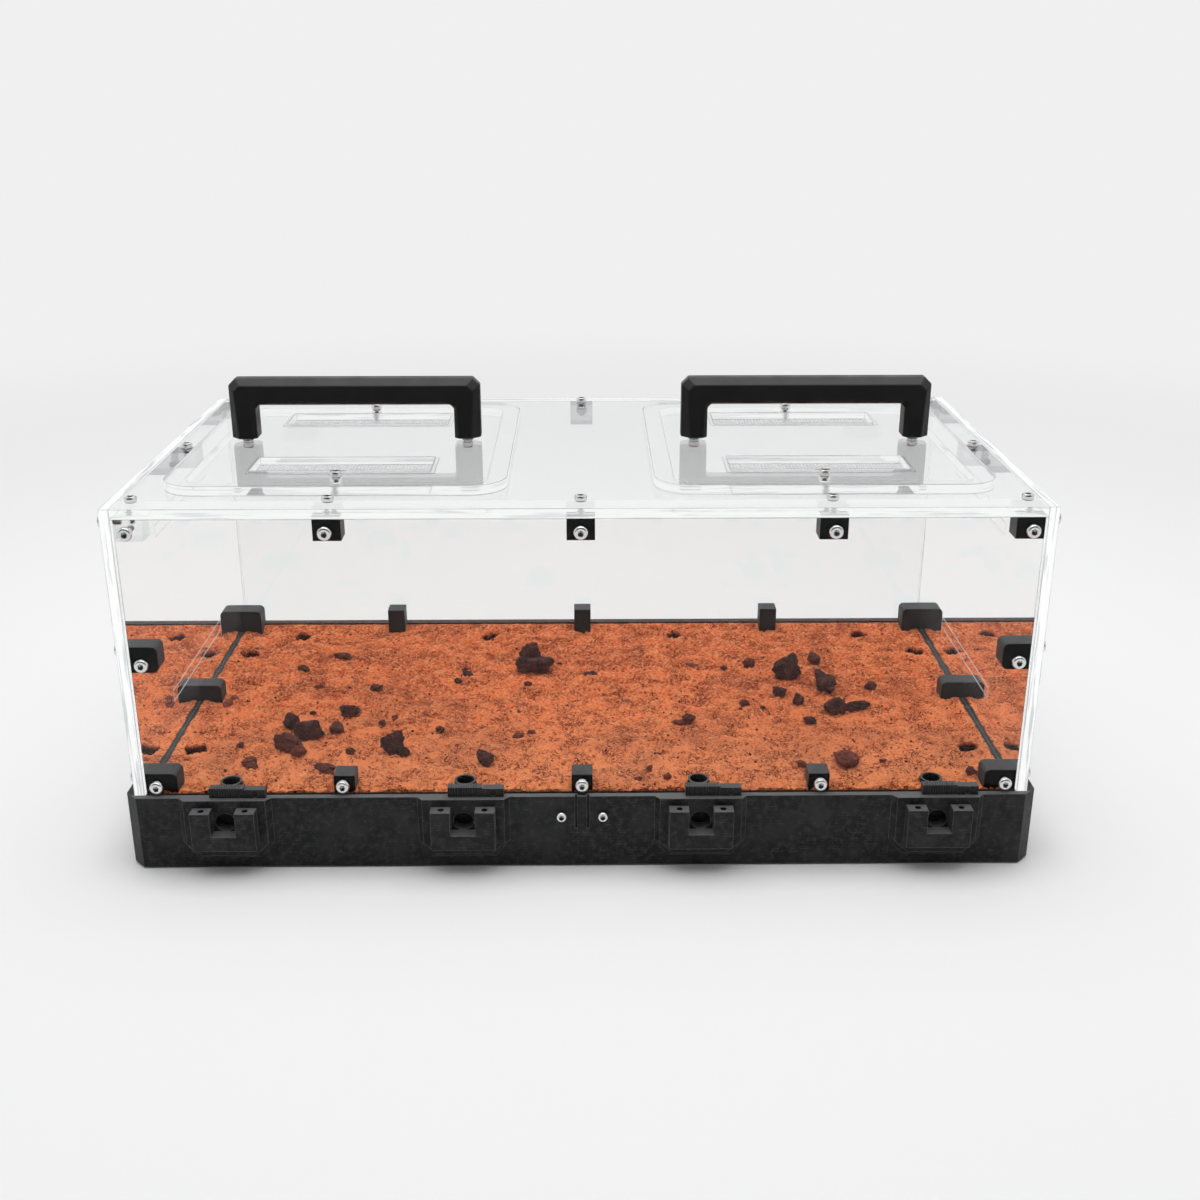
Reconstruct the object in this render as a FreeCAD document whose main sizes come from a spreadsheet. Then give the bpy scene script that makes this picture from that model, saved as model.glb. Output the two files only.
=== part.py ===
import FreeCAD, Part
import os
import re
import Sketcher

# Ant habitat: a clear acrylic box on a black tray of sand.
# Origin: middle of the tray's underside. X runs to the right, Y to the back, Z up. Millimetres.

doc = FreeCAD.newDocument("ant_habitat")
sizes = doc.addObject("Spreadsheet::Sheet", "sizes")

DIMENSIONS = {
    # acrylic box
    "acrylic": 5.0,
    "case_width": 450.0,
    "case_depth": 235.0,
    "wall_top": 184.0,
    "panel_seat": 2.0,
    "channel_length": 104.0,
    "channel_height": 6.0,
    "channel_depth": 1.0,
    "low_channel_level": 64.5,
    "high_channel_level": 157.5,
    # tray
    "rim": 40.0,
    "tray_side_ledge": 4.0,
    "tray_front_ledge": 5.0,
    "tray_corner": 6.0,
    "tray_foot": 1.0,
    "tray_floor": 3.0,
    "rail_width": 4.0,
    "slot_gap": 1.7,
    "tongue_width": 4.8,
    "tongue_slit": 1.2,
    "tongue_low": 21.7,
    "tongue_cut": 2.0,
    "finger_radius": 2.5,
    "finger_depth": 1.2,
    # sand and stones
    "sand_top": 39.0,
    "stone_size": 10.0,
    "mound_reach": 20.0,
    "mound_height": 1.6,
    "well_radius": 4.8,
    "well_depth": 14.0,
    "well_side_inset": 17.5,
    "well_side_spread": 132.0,
    "well_back_inset": 22.5,
    # ports
    "port_end_inset": 46.5,
    "pad_thick": 3.0,
    "pad_half_width": 23.0,
    "pad_bevel": 2.5,
    "pad_shoulder": 15.5,
    "pad_low": 6.5,
    "pad_low_half_width": 16.0,
    "port_block_width": 32.0,
    "port_block_depth": 6.5,
    "port_block_low": 15.0,
    "port_block_top": 36.0,
    "port_slot_width": 12.4,
    "bore_radius": 5.0,
    "bore_level": 28.0,
    "port_hole_radius": 1.6,
    "port_hole_spacing": 21.8,
    "port_hole_setback": 3.0,
    "port_hole_depth": 10.0,
    # entrance tubes
    "tube_radius": 5.5,
    "tube_bore_radius": 4.5,
    "neck_radius": 5.2,
    "neck_bore_radius": 4.1,
    "tube_foot_drop": 7.0,
    "tube_foot_thick": 1.2,
    "tube_top": 42.0,
    "tube_setback": 6.0,
    # gates
    "gate_width": 17.0,
    "gate_shift": 0.9,
    "gate_top": 45.3,
    "gate_thick": 4.6,
    "gate_panel_gap": 0.5,
    "gate_lift": 0.2,
    "gate_travel": 15.0,
    "blade_thick": 1.1,
    "blade_low": 20.6,
    "blade_gap": 0.3,
    "rib_pitch": 1.25,
    "rib_groove": 0.5,
    "rib_depth": 0.55,
    "stop_gap": 0.4,
    "stop_width": 10.5,
    "stop_top": 44.6,
    "magnet_radius": 1.9,
    "magnet_thick": 1.5,
    "magnet_recess": 0.4,
    # fixing blocks
    "post_width": 10.6,
    "post_depth": 11.0,
    "post_top": 47.5,
    "rear_post_top": 54.0,
    "post_end_inset": 105.0,
    "corner_width": 16.0,
    "corner_depth": 12.0,
    "corner_top": 49.0,
    "rear_corner_width": 13.0,
    "side_post_width": 12.5,
    "side_post_top": 49.5,
    "clip_width": 13.5,
    "clip_depth": 11.0,
    "clip_height": 12.0,
    "mid_clip_low": 104.5,
    "mid_clip_height": 13.5,
    "side_clip_back": -4.0,
    "block_round": 3.0,
    # cap screws
    "screw_radius": 1.5,
    "screw_length": 10.0,
    "side_screw_length": 8.0,
    "screw_head_radius": 2.75,
    "screw_head_height": 3.0,
    "socket_radius": 1.44,
    "socket_depth": 1.6,
    "thread_slack": 0.1,
    "panel_slack": 0.3,
    "screw_side_inset": 12.0,
    "front_screw_level": 44.0,
    "rear_screw_level": 47.0,
    "corner_screw_level": 46.0,
    "roof_screw_drop": 6.5,
    "roof_screw_setback": 12.5,
    "side_screw_setback": 8.5,
    "side_top_screw_drop": 3.0,
    "mid_screw_level": 110.5,
    "mid_side_screw_level": 115.2,
    "tray_screw_spread": 20.8,
    "tray_screw_level": 29.4,
    # lids
    "lid_side_margin": 21.0,
    "lid_middle_gap": 72.0,
    "lid_front_margin": 21.5,
    "lid_back_margin": 33.5,
    "lid_corner": 18.0,
    "lid_lap": 10.0,
    "hatch_corner": 10.0,
    "vent_side_margin": 39.0,
    "vent_depth": 26.0,
    "vent_end_margin": 41.0,
    "mesh_thick": 0.6,
    "mesh_lap": 2.0,
    "mesh_slack": 0.1,
    "locator_end_margin": 17.0,
    "handle_end_margin": 17.5,
    "handle_section": 15.0,
    "bar_height": 12.5,
    "handle_rise": 34.0,
    "handle_end_bevel": 6.0,
    "handle_edge_bevel": 2.8,
    "spacer_radius": 3.0,
    "spacer_height": 2.0,
    "handle_screw_grip": 12.0,
}

for row, (alias, size) in enumerate(DIMENSIONS.items(), start=1):
    sizes.set(f"A{row}", alias)
    sizes.set(f"B{row}", str(size))
    sizes.setAlias(f"B{row}", alias)
doc.recompute()

# Turns from a rod's own +Z to the named direction, and the signs of that direction.
HEADINGS = {
    "+X": ((0, 1, 0), 90, (1, 0, 0)),
    "-X": ((0, 1, 0), -90, (-1, 0, 0)),
    "+Y": ((1, 0, 0), -90, (0, 1, 0)),
    "-Y": ((1, 0, 0), 90, (0, -1, 0)),
    "+Z": ((0, 0, 1), 0, (0, 0, 1)),
    "-Z": ((1, 0, 0), 180, (0, 0, -1)),
}

# Planes that many pieces share, as formulas of the sheet.
INNER_X = "(case_width / 2 - acrylic)"
INNER_Y = "(case_depth / 2 - acrylic)"
OUTER_X = "(case_width / 2)"
OUTER_Y = "(case_depth / 2)"
CAVITY_X = f"({INNER_X} - rail_width)"
CAVITY_BACK = f"({INNER_Y} - rail_width)"
TRAY_X = f"({OUTER_X} + tray_side_ledge)"
TRAY_Y = f"({OUTER_Y} + tray_front_ledge)"
ROOF_TOP = "(wall_top + acrylic)"
LID_TOP = f"({ROOF_TOP} + acrylic)"
BLADE_FRONT = f"(-{OUTER_Y} - slot_gap)"
SCREW_X = f"({OUTER_X} - screw_side_inset)"
POST_X = f"({OUTER_X} - post_end_inset)"
LID_WIDTH = f"({OUTER_X} - lid_side_margin - lid_middle_gap / 2)"
LID_DEPTH = "(case_depth - lid_front_margin - lid_back_margin)"
LID_X = f"(lid_middle_gap / 2 + {LID_WIDTH} / 2)"
LID_Y = "((lid_front_margin - lid_back_margin) / 2)"
HANDLE_LENGTH = f"({LID_WIDTH} - 2 * handle_end_margin)"
LEG_REACH = f"({HANDLE_LENGTH} - handle_section) / 2"
VENT_WIDTH = f"({LID_WIDTH} - 2 * vent_side_margin)"
VENT_REACH = f"({LID_DEPTH} / 2 - vent_end_margin)"
LOCATOR_REACH = f"({LID_DEPTH} / 2 - locator_end_margin)"

finished = []


def formula(text):
    """The text with every word turned into a cell of the sheet."""
    return re.sub(r"[a-z_]+", lambda word: "sizes." + word.group(0), str(text))


def number(text):
    """The value that a formula of the sheet has now."""
    return float(sizes.evalExpression(formula(text)))


def place(thing, point, heading="+Z"):
    """Put an object at a point given as three formulas, turned to a heading."""
    axis, angle, _ = HEADINGS[heading]
    thing.Placement.Rotation = FreeCAD.Rotation(FreeCAD.Vector(*axis), angle)
    for letter, value in zip("xyz", point):
        thing.setExpression(f"Placement.Base.{letter}", formula(value))
    return thing


def moved_along(point, heading, distance):
    """The point shifted by a distance along a heading."""
    signs = HEADINGS[heading][2]
    return tuple(f"({value}) + {sign} * ({distance})" for value, sign in zip(point, signs))


def box(name, west, east, front, back, low, high):
    """A straight block between six planes."""
    block = doc.addObject("Part::Box", name)
    block.setExpression("Length", formula(f"({east}) - ({west})"))
    block.setExpression("Width", formula(f"({back}) - ({front})"))
    block.setExpression("Height", formula(f"({high}) - ({low})"))
    return place(block, (west, front, low))


def rod(name, radius, length, start, heading="+Z"):
    """A round bar that starts at a point and runs along a heading."""
    bar = doc.addObject("Part::Cylinder", name)
    bar.setExpression("Radius", formula(radius))
    bar.setExpression("Height", formula(length))
    return place(bar, start, heading)


def joined(name, pieces):
    """One solid out of touching pieces."""
    if len(pieces) == 1:
        return pieces[0]
    union = doc.addObject("Part::MultiFuse", name)
    union.Shapes = pieces
    union.Refine = True
    return union


def grouped(name, pieces):
    """Separate solids kept in one sub-part."""
    group = doc.addObject("Part::Compound", name)
    group.Links = pieces
    return group


def cut_out(name, base, tools):
    """The base with every tool taken out of it."""
    result = doc.addObject("Part::Cut", name)
    result.Base = base
    result.Tool = joined(name + "_tools", tools)
    return result


def keep(thing, label):
    """Name a finished sub-part and put it on the list of files."""
    thing.Label = label
    finished.append(thing)
    return thing


def origin_part(body, role):
    """A plane or axis of a body's own origin."""
    return next(item for item in body.Origin.OriginFeatures if item.Role == role)


def outline(body, name, plane, corners, offset="0"):
    """A closed sketch of straight lines through corners given as pairs of formulas."""
    sketch = body.newObject("Sketcher::SketchObject", name)
    sketch.AttachmentSupport = [(origin_part(body, plane), "")]
    sketch.MapMode = "FlatFace"
    sketch.setExpression("AttachmentOffset.Base.z", formula(offset))
    points = [FreeCAD.Vector(number(across), number(up), 0) for across, up in corners]
    count = len(points)
    for index in range(count):
        sketch.addGeometry(Part.LineSegment(points[index], points[(index + 1) % count]), False)
    for index in range(count):
        sketch.addConstraint(Sketcher.Constraint("Coincident", index, 2, (index + 1) % count, 1))
    for index, corner in enumerate(corners):
        for kind, value, now in zip(("DistanceX", "DistanceY"), corner, points[index]):
            rule = sketch.addConstraint(Sketcher.Constraint(kind, index, 1, now))
            label = f"corner{index}{kind[-1]}"
            sketch.renameConstraint(rule, label)
            sketch.setExpression(f"Constraints.{label}", formula(value))
    return sketch


def rectangle(west, east, low, high):
    """The four corners of a rectangle, as pairs of formulas."""
    return [(west, low), (east, low), (east, high), (west, high)]


def extrude(body, kind, name, sketch, length, both_ways=False, backwards=False):
    """A pad or pocket of a sketch, to a length given as a formula."""
    feature = body.newObject(f"PartDesign::{kind}", name)
    feature.Profile = sketch
    feature.setExpression("Length", formula(length))
    feature.Midplane = both_ways
    feature.Reversed = backwards
    doc.recompute()
    return feature


def soften(body, kind, name, base, size_name, size, wanted):
    """A fillet or chamfer on the edges of the base that the test picks."""
    edges = [f"Edge{index}" for index, edge in enumerate(base.Shape.Edges, start=1) if wanted(edge)]
    feature = body.newObject(f"PartDesign::{kind}", name)
    feature.Base = (base, edges)
    feature.setExpression(size_name, formula(size))
    body.Tip = feature
    doc.recompute()
    return feature


def is_upright(edge):
    """True for a straight edge along Z."""
    ends = [vertex.Point for vertex in edge.Vertexes]
    return len(ends) == 2 and abs(ends[0].x - ends[1].x) + abs(ends[0].y - ends[1].y) < 1e-6


def all_at(edge, axis, level):
    """True when both ends of an edge lie at a level on one axis."""
    return all(abs(getattr(vertex.Point, axis) - level) < 1e-6 for vertex in edge.Vertexes)


# ---- cap screws -------------------------------------------------------------------------------


def cap_screw(name, seat, heading, length="screw_length"):
    """A socket cap screw: head outside the seat, shank along the heading."""
    top = moved_along(seat, heading, "-screw_head_height")
    head = rod(name + "_head", "screw_head_radius", "screw_head_height", top, heading)
    shank = rod(name + "_shank", "screw_radius", length, seat, heading)
    socket = doc.addObject("Part::Prism", name + "_socket")
    socket.Polygon = 6
    socket.setExpression("Circumradius", formula("socket_radius"))
    socket.setExpression("Height", formula("socket_depth"))
    place(socket, top, heading)
    return cut_out(name, joined(name + "_bar", [head, shank]), [socket])


def clearance_hole(name, seat, heading):
    """The loose hole that a screw needs in an acrylic sheet."""
    return rod(name, "screw_radius + panel_slack", "acrylic", seat, heading)


def thread_hole(name, seat, heading, length="screw_length"):
    """The tapped hole that a screw ends in, a little deeper than the screw."""
    return rod(name, "screw_radius + thread_slack", f"{length} + thread_slack", seat, heading)


def mirrored_x(positions):
    """The same places on the left side."""
    return [(f"-({across})", *rest) for across, *rest in positions]


ROW = [f"-{POST_X}", "0", POST_X]
CLIP_LEVEL = "(wall_top - roof_screw_drop)"
ROOF_SCREW_Y = f"({OUTER_Y} - roof_screw_setback)"
SIDE_SCREW_Y = f"({OUTER_Y} - side_screw_setback)"
SIDE_TOP_LEVEL = "(wall_top - side_top_screw_drop)"
CORNERS = [f"-{SCREW_X}", SCREW_X]

FRONT_SCREWS = (
    [(across, f"-{OUTER_Y}", "front_screw_level") for across in ROW + CORNERS]
    + [(across, f"-{OUTER_Y}", "mid_screw_level") for across in CORNERS]
    + [(across, f"-{OUTER_Y}", CLIP_LEVEL) for across in ROW + CORNERS]
)
BACK_SCREWS = (
    [(across, OUTER_Y, "rear_screw_level") for across in ROW + CORNERS]
    + [(across, OUTER_Y, CLIP_LEVEL) for across in ["0"] + CORNERS]
)
RIGHT_SCREWS = [
    (OUTER_X, f"-{SIDE_SCREW_Y}", "corner_screw_level"),
    (OUTER_X, f"-{SIDE_SCREW_Y}", "mid_side_screw_level"),
    (OUTER_X, f"-{SIDE_SCREW_Y}", SIDE_TOP_LEVEL),
    (OUTER_X, SIDE_SCREW_Y, "corner_screw_level + screw_radius * 3"),
    (OUTER_X, SIDE_SCREW_Y, SIDE_TOP_LEVEL),
    (OUTER_X, "0", "front_screw_level"),
    (OUTER_X, "side_clip_back", f"{CLIP_LEVEL} - screw_radius"),
]
ROOF_SCREWS = (
    [(across, f"-{ROOF_SCREW_Y}", ROOF_TOP) for across in ROW + CORNERS]
    + [(across, "side_clip_back", ROOF_TOP) for across in CORNERS]
    + [(across, ROOF_SCREW_Y, ROOF_TOP) for across in ["0"] + CORNERS]
)
TRAY_SCREWS = [(f"{sign} * tray_screw_spread / 2", f"-{TRAY_Y}", "tray_screw_level") for sign in (-1, 1)]


def screw_set(label, seats_by_heading, length="screw_length"):
    """All the screws of one face as one sub-part."""
    screws = []
    for heading, seats in seats_by_heading.items():
        for index, seat in enumerate(seats):
            screws.append(cap_screw(f"{label}_{index}", seat, heading, length))
    return keep(grouped(label, screws), label)


# ---- tray, sand and stones --------------------------------------------------------------------


def port_centres():
    """The four port centres, left to right, as formulas."""
    return [f"({share} * ({OUTER_X} - port_end_inset))" for share in ("-1", "-1 / 3", "1 / 3", "1")]


def tray_shell():
    """The open tray: an eight-sided block with a foot bevel and the sand's cavity."""
    body = doc.addObject("PartDesign::Body", "tray_shell")
    cut = "tray_corner"
    rim_corners = [
        (f"-{TRAY_X} + {cut}", f"-{TRAY_Y}"), (f"{TRAY_X} - {cut}", f"-{TRAY_Y}"),
        (TRAY_X, f"-{TRAY_Y} + {cut}"), (TRAY_X, f"{TRAY_Y} - {cut}"),
        (f"{TRAY_X} - {cut}", TRAY_Y), (f"-{TRAY_X} + {cut}", TRAY_Y),
        (f"-{TRAY_X}", f"{TRAY_Y} - {cut}"), (f"-{TRAY_X}", f"-{TRAY_Y} + {cut}"),
    ]
    plan = outline(body, "tray_plan", "XY_Plane", rim_corners)
    block = extrude(body, "Pad", "tray_block", plan, "rim")
    foot = soften(body, "Chamfer", "tray_foot_bevel", block, "Size", "tray_foot",
                  lambda edge: all_at(edge, "z", 0.0))
    cavity_corners = rectangle(f"-{CAVITY_X}", CAVITY_X, f"-{INNER_Y}", CAVITY_BACK)
    cavity_plan = outline(body, "cavity_plan", "XY_Plane", cavity_corners, "rim")
    cavity = extrude(body, "Pocket", "cavity", cavity_plan, "rim - tray_floor")
    assert cavity.Shape.Volume < foot.Shape.Volume
    return body


def port_pad(index, centre):
    """The raised pad round a port: six-sided, its sides and foot bevelled towards the front."""
    body = doc.addObject("PartDesign::Body", f"port_pad_{index}")
    sections = []
    for name, lift, bevel in (("root", TRAY_Y, "0"), ("face", f"{TRAY_Y} + pad_thick", "pad_bevel")):
        wide = f"(pad_half_width - {bevel})"
        narrow = f"(pad_low_half_width - {bevel})"
        foot = f"pad_low + {bevel}"
        corners = [
            (f"-{wide}", "rim"), (wide, "rim"), (wide, "pad_shoulder"),
            (narrow, foot), (f"-{narrow}", foot), (f"-{wide}", "pad_shoulder"),
        ]
        sections.append(outline(body, f"{name}_{index}", "XZ_Plane", corners, lift))
    loft = body.newObject("PartDesign::AdditiveLoft", f"pad_loft_{index}")
    loft.Profile = sections[0]
    loft.Sections = sections[1:]
    loft.Ruled = True
    return place(body, (centre, "0", "0"))


def port_solids(index, centre):
    """What a port adds to the tray's front: the pad and the tube block on it."""
    pad_face = f"-{TRAY_Y} - pad_thick"
    block = box(
        f"port_block_{index}", f"{centre} - port_block_width / 2", f"{centre} + port_block_width / 2",
        f"{pad_face} - port_block_depth", pad_face, "port_block_low", "port_block_top")
    return [port_pad(index, centre), block]


def port_cuts(index, centre):
    """What a port takes out: the tube slot, the bore, the blade's pocket and the two upright holes."""
    pad_face = f"-{TRAY_Y} - pad_thick"
    block_front = f"{pad_face} - port_block_depth"
    slot = box(
        f"port_slot_{index}", f"{centre} - port_slot_width / 2", f"{centre} + port_slot_width / 2",
        block_front, pad_face, "bore_level - bore_radius", "port_block_top")
    bore = rod(f"port_bore_{index}", "bore_radius", f"-{INNER_Y} - ({pad_face})",
               (centre, pad_face, "bore_level"), "+Y")
    pocket = box(
        f"blade_pocket_{index}",
        f"{centre} + gate_shift - gate_width / 2 - gate_travel - blade_gap",
        f"{centre} + gate_shift + gate_width / 2 + blade_gap",
        BLADE_FRONT, f"-{OUTER_Y}", "blade_low - blade_gap", "rim")
    holes = [
        rod(f"port_hole_{index}_{side}", "port_hole_radius", "port_hole_depth",
            (f"{centre} + {side} * port_hole_spacing / 2",
             f"{pad_face} - port_hole_setback", "port_block_top - port_hole_depth"))
        for side in (-1, 1)
    ]
    return [slot, bore, pocket] + holes


def base_tray():
    """The whole tray with its panel grooves, ports and finger tongue."""
    solids = [tray_shell()]
    seat = "rim - panel_seat"
    cuts = [
        box("front_groove", f"-{OUTER_X}", OUTER_X, BLADE_FRONT, f"-{INNER_Y}", seat, "rim"),
        box("back_groove", f"-{OUTER_X}", OUTER_X, INNER_Y, OUTER_Y, seat, "rim"),
        box("left_groove", f"-{OUTER_X}", f"-{INNER_X}", f"-{OUTER_Y}", OUTER_Y, seat, "rim"),
        box("right_groove", INNER_X, OUTER_X, f"-{OUTER_Y}", OUTER_Y, seat, "rim"),
        rod("finger_notch", "finger_radius", "finger_depth", ("0", BLADE_FRONT, "rim - finger_depth")),
    ]
    for side in (-1, 1):
        middle = f"{side} * (tongue_width + tongue_slit) / 2"
        cuts.append(box(
            f"tongue_slit_{side}", f"{middle} - tongue_slit / 2", f"{middle} + tongue_slit / 2",
            f"-{TRAY_Y}", f"-{TRAY_Y} + tongue_cut", "tongue_low", "rim"))
    for index, seat_point in enumerate(TRAY_SCREWS):
        cuts.append(thread_hole(f"tray_screw_hole_{index}", seat_point, "+Y", "side_screw_length"))
    for index, centre in enumerate(port_centres(), start=1):
        solids += port_solids(index, centre)
        cuts += port_cuts(index, centre)
    return keep(cut_out("base_tray", joined("tray_union", solids), cuts), "base_tray")


def entrance_tube(index, centre):
    """A round elbow: in from the port bore, then up through the sand to a short ring."""
    axis_y = f"-{INNER_Y} + tube_setback"
    inlet = (centre, f"-{INNER_Y}", "bore_level")
    foot = (centre, axis_y, "bore_level - tube_foot_drop")
    floor = (centre, axis_y, "bore_level - tube_foot_drop + tube_foot_thick")
    height = "tube_top - bore_level + tube_foot_drop"
    riser = rod(f"riser_{index}", "tube_radius", height, foot)
    neck = rod(f"neck_{index}", "neck_radius", "tube_setback", inlet, "+Y")
    outside = joined(f"elbow_{index}", [riser, neck])
    riser_bore = rod(f"riser_bore_{index}", "tube_bore_radius", f"{height} - tube_foot_thick", floor)
    neck_bore = rod(f"neck_bore_{index}", "neck_bore_radius", "tube_setback", inlet, "+Y")
    keep(cut_out(f"tube_{index}", outside, [riser_bore, neck_bore]), f"entrance_tube_{index}")
    return outside


def sand_wells():
    """Round wells in the sand: two along each side and one behind each port, along the back."""
    side_x = f"({OUTER_X} - well_side_inset)"
    places = [
        (f"{across} * {side_x}", f"{back} * well_side_spread / 2")
        for across in (-1, 1) for back in (-1, 1)
    ]
    places += [(centre, f"{OUTER_Y} - well_back_inset") for centre in port_centres()]
    return [
        rod(f"well_{index}", "well_radius", "well_depth", (across, back, "sand_top - well_depth"))
        for index, (across, back) in enumerate(places)
    ]


# The rows of low mounds between the stones: each row's place as a share of the box's inner half depth,
# and the columns that hold a mound, in steps of a share of the sand's half length from the middle.
MOUND_ROWS = {
    -0.587: (0, 1, 2, 4),
    -0.196: (-2, -1, 0, 1, 2),
    0.196: (-4, -3, -2, 0, 1, 2),
    0.587: (-4, -3, -2, 0, 1, 2, 4),
}
MOUND_STEP = 0.204
MOUND_SINK_ANGLE = 75


def sand_mounds():
    """Low mounds of three heights that roll the sand: the caps of large balls, sunk a little into it."""
    caps = []
    for row, (back, columns) in enumerate(MOUND_ROWS.items()):
        for column in columns:
            rise = f"(mound_height * {0.75 + (column + row) % 3 / 4})"
            ball = f"((mound_reach ^ 2 + {rise} ^ 2) / (2 * {rise}))"
            cap = doc.addObject("Part::Sphere", f"mound_{row}_{len(caps)}")
            cap.setExpression("Radius", formula(ball))
            cap.Angle1 = MOUND_SINK_ANGLE
            middle = (f"{column * MOUND_STEP} * {CAVITY_X}", f"{back} * {INNER_Y}")
            caps.append(place(cap, (*middle, f"sand_top + {rise} - {ball}")))
    return caps


def sand_bed(buried):
    """The sand that fills the tray round the posts and the tubes."""
    block = box("sand_block", f"-{CAVITY_X}", CAVITY_X, f"-{INNER_Y}", CAVITY_BACK, "tray_floor", "sand_top")
    heaped = joined("sand_heaped", [block] + sand_mounds())
    return keep(cut_out("sand", heaped, buried + sand_wells()), "sand_bed")


# Each stone: its place as shares of the sand's half length and of the box's inner half depth, then
# its half length, its half width and its height over the sand in stone sizes.
STONES = (
    (-0.134, 0.356, 1.2, 0.9, 1.8), (-0.468, -0.631, 0.7, 0.6, 1.1), (-0.745, -0.347, 0.5, 0.5, 0.9),
    (-0.685, -0.471, 0.85, 0.6, 1.1), (-0.731, -0.596, 0.95, 0.7, 1), (-0.625, -0.409, 0.4, 0.4, 0.5),
    (-0.606, -0.196, 0.6, 0.45, 0.6), (-0.620, -0.800, 0.65, 0.4, 0.5),
    (-0.236, -0.747, 0.5, 0.4, 0.7), (-0.806, -0.756, 0.45, 0.4, 0.6), (0.569, 0.240, 1.05, 0.8, 1.4),
    (0.657, 0.436, 0.45, 0.4, 1), (0.662, 0.071, 0.6, 1, 1.2), (0.694, -0.187, 1.3, 0.6, 0.9),
    (0.644, -0.773, 0.8, 0.65, 0.8), (0.787, 0.071, 0.4, 0.4, 0.7),
)


def lava_stones():
    """The larger lava stones: domes that lie on the sand."""
    domes = []
    for index, (east, back, half_length, half_width, height) in enumerate(STONES):
        dome = doc.addObject("Part::Ellipsoid", f"stone_{index}")
        dome.setExpression("Radius1", formula(f"{height} * stone_size"))
        dome.setExpression("Radius2", formula(f"{half_length} * stone_size"))
        dome.setExpression("Radius3", formula(f"{half_width} * stone_size"))
        dome.Angle1 = 0
        domes.append(place(dome, (f"{east} * {CAVITY_X}", f"{back} * {INNER_Y}", "sand_top")))
    return keep(grouped("stones", domes), "lava_stones")


# ---- acrylic panels ---------------------------------------------------------------------------


def wall_panel(label, planes, seats, heading):
    """One upright panel or the roof: a sheet with a clearance hole at each screw."""
    sheet = box(label + "_sheet", *planes)
    holes = [clearance_hole(f"{label}_hole_{index}", seat, heading) for index, seat in enumerate(seats)]
    return cut_out(label, sheet, holes)


def side_channels(side):
    """Two long shallow channels milled in a side panel's outer face."""
    outer = f"{side} * {OUTER_X}"
    bottom = f"{side} * ({OUTER_X} - channel_depth)"
    west, east = (bottom, outer) if side > 0 else (outer, bottom)
    return [
        box(f"channel_{level}", west, east, "-channel_length / 2", "channel_length / 2",
            f"{level} - channel_height / 2", f"{level} + channel_height / 2")
        for level in ("low_channel_level", "high_channel_level")
    ]


def panels():
    """The four walls."""
    seat = "rim - panel_seat"
    keep(wall_panel("front_panel", (f"-{INNER_X}", INNER_X, f"-{OUTER_Y}", f"-{INNER_Y}", seat, "wall_top"),
                    FRONT_SCREWS, "+Y"), "front_panel")
    keep(wall_panel("back_panel", (f"-{INNER_X}", INNER_X, INNER_Y, OUTER_Y, seat, "wall_top"),
                    BACK_SCREWS, "-Y"), "back_panel")
    right = wall_panel("right_sheet", (INNER_X, OUTER_X, f"-{OUTER_Y}", OUTER_Y, seat, ROOF_TOP),
                       RIGHT_SCREWS, "-X")
    keep(cut_out("right_panel", right, side_channels(1)), "right_panel")
    left = wall_panel("left_sheet", (f"-{OUTER_X}", f"-{INNER_X}", f"-{OUTER_Y}", OUTER_Y, seat, ROOF_TOP),
                      mirrored_x(RIGHT_SCREWS), "+X")
    keep(cut_out("left_panel", left, side_channels(-1)), "left_panel")


def rounded_plate(name, centre, half_width, half_depth, low, thickness, corner):
    """A flat plate with rounded corners, laid round its own middle."""
    body = doc.addObject("PartDesign::Body", name)
    plan = outline(body, name + "_plan", "XY_Plane",
                   rectangle(f"-({half_width})", half_width, f"-({half_depth})", half_depth))
    pad = extrude(body, "Pad", name + "_pad", plan, thickness)
    soften(body, "Fillet", name + "_corners", pad, "Radius", corner, is_upright)
    return place(body, (centre, LID_Y, low))


def roof_panel():
    """The roof between the side panels, with a rounded hatch under each lid."""
    roof = wall_panel("roof_sheet", (f"-{INNER_X}", INNER_X, f"-{OUTER_Y}", OUTER_Y, "wall_top", ROOF_TOP),
                      ROOF_SCREWS, "-Z")
    hatches = [
        rounded_plate(f"hatch_{name}", f"{side} * {LID_X}", f"{LID_WIDTH} / 2 - lid_lap",
                      f"{LID_DEPTH} / 2 - lid_lap", "wall_top", "acrylic", "hatch_corner")
        for name, side in (("left", -1), ("right", 1))
    ]
    return keep(cut_out("roof_panel", roof, hatches), "roof_panel")


# ---- fixing blocks ----------------------------------------------------------------------------


def rounded_inside(label, solid, inner):
    """The block with the edges of its inner face that run along Y rounded off."""
    doc.recompute()
    inner_plane = number(inner)
    floor_level = number("tray_floor")
    radius = number("block_round")
    rounded = doc.addObject("Part::Fillet", label + "_rounded")
    rounded.Base = solid
    rounded.Edges = [
        (index, radius, radius) for index, edge in enumerate(solid.Shape.Edges, start=1)
        if all_at(edge, "x", inner_plane) and not is_upright(edge)
        and not all_at(edge, "z", floor_level)
        and abs(edge.Vertexes[0].Point.y - edge.Vertexes[1].Point.y) > radius
    ]
    return rounded


def fixing_block(label, boxes, threads, inner=None):
    """A block out of one or more boxes, tapped for its screws, its inner edges rounded if asked."""
    solid = joined(label + "_solid", [box(f"{label}_{index}", *planes) for index, planes in enumerate(boxes)])
    if inner is not None:
        solid = rounded_inside(label, solid, inner)
    holes = [
        thread_hole(f"{label}_thread_{index}", seat, heading, length)
        for index, (seat, heading, length) in enumerate(threads)
    ]
    return cut_out(label, solid, holes)


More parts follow.
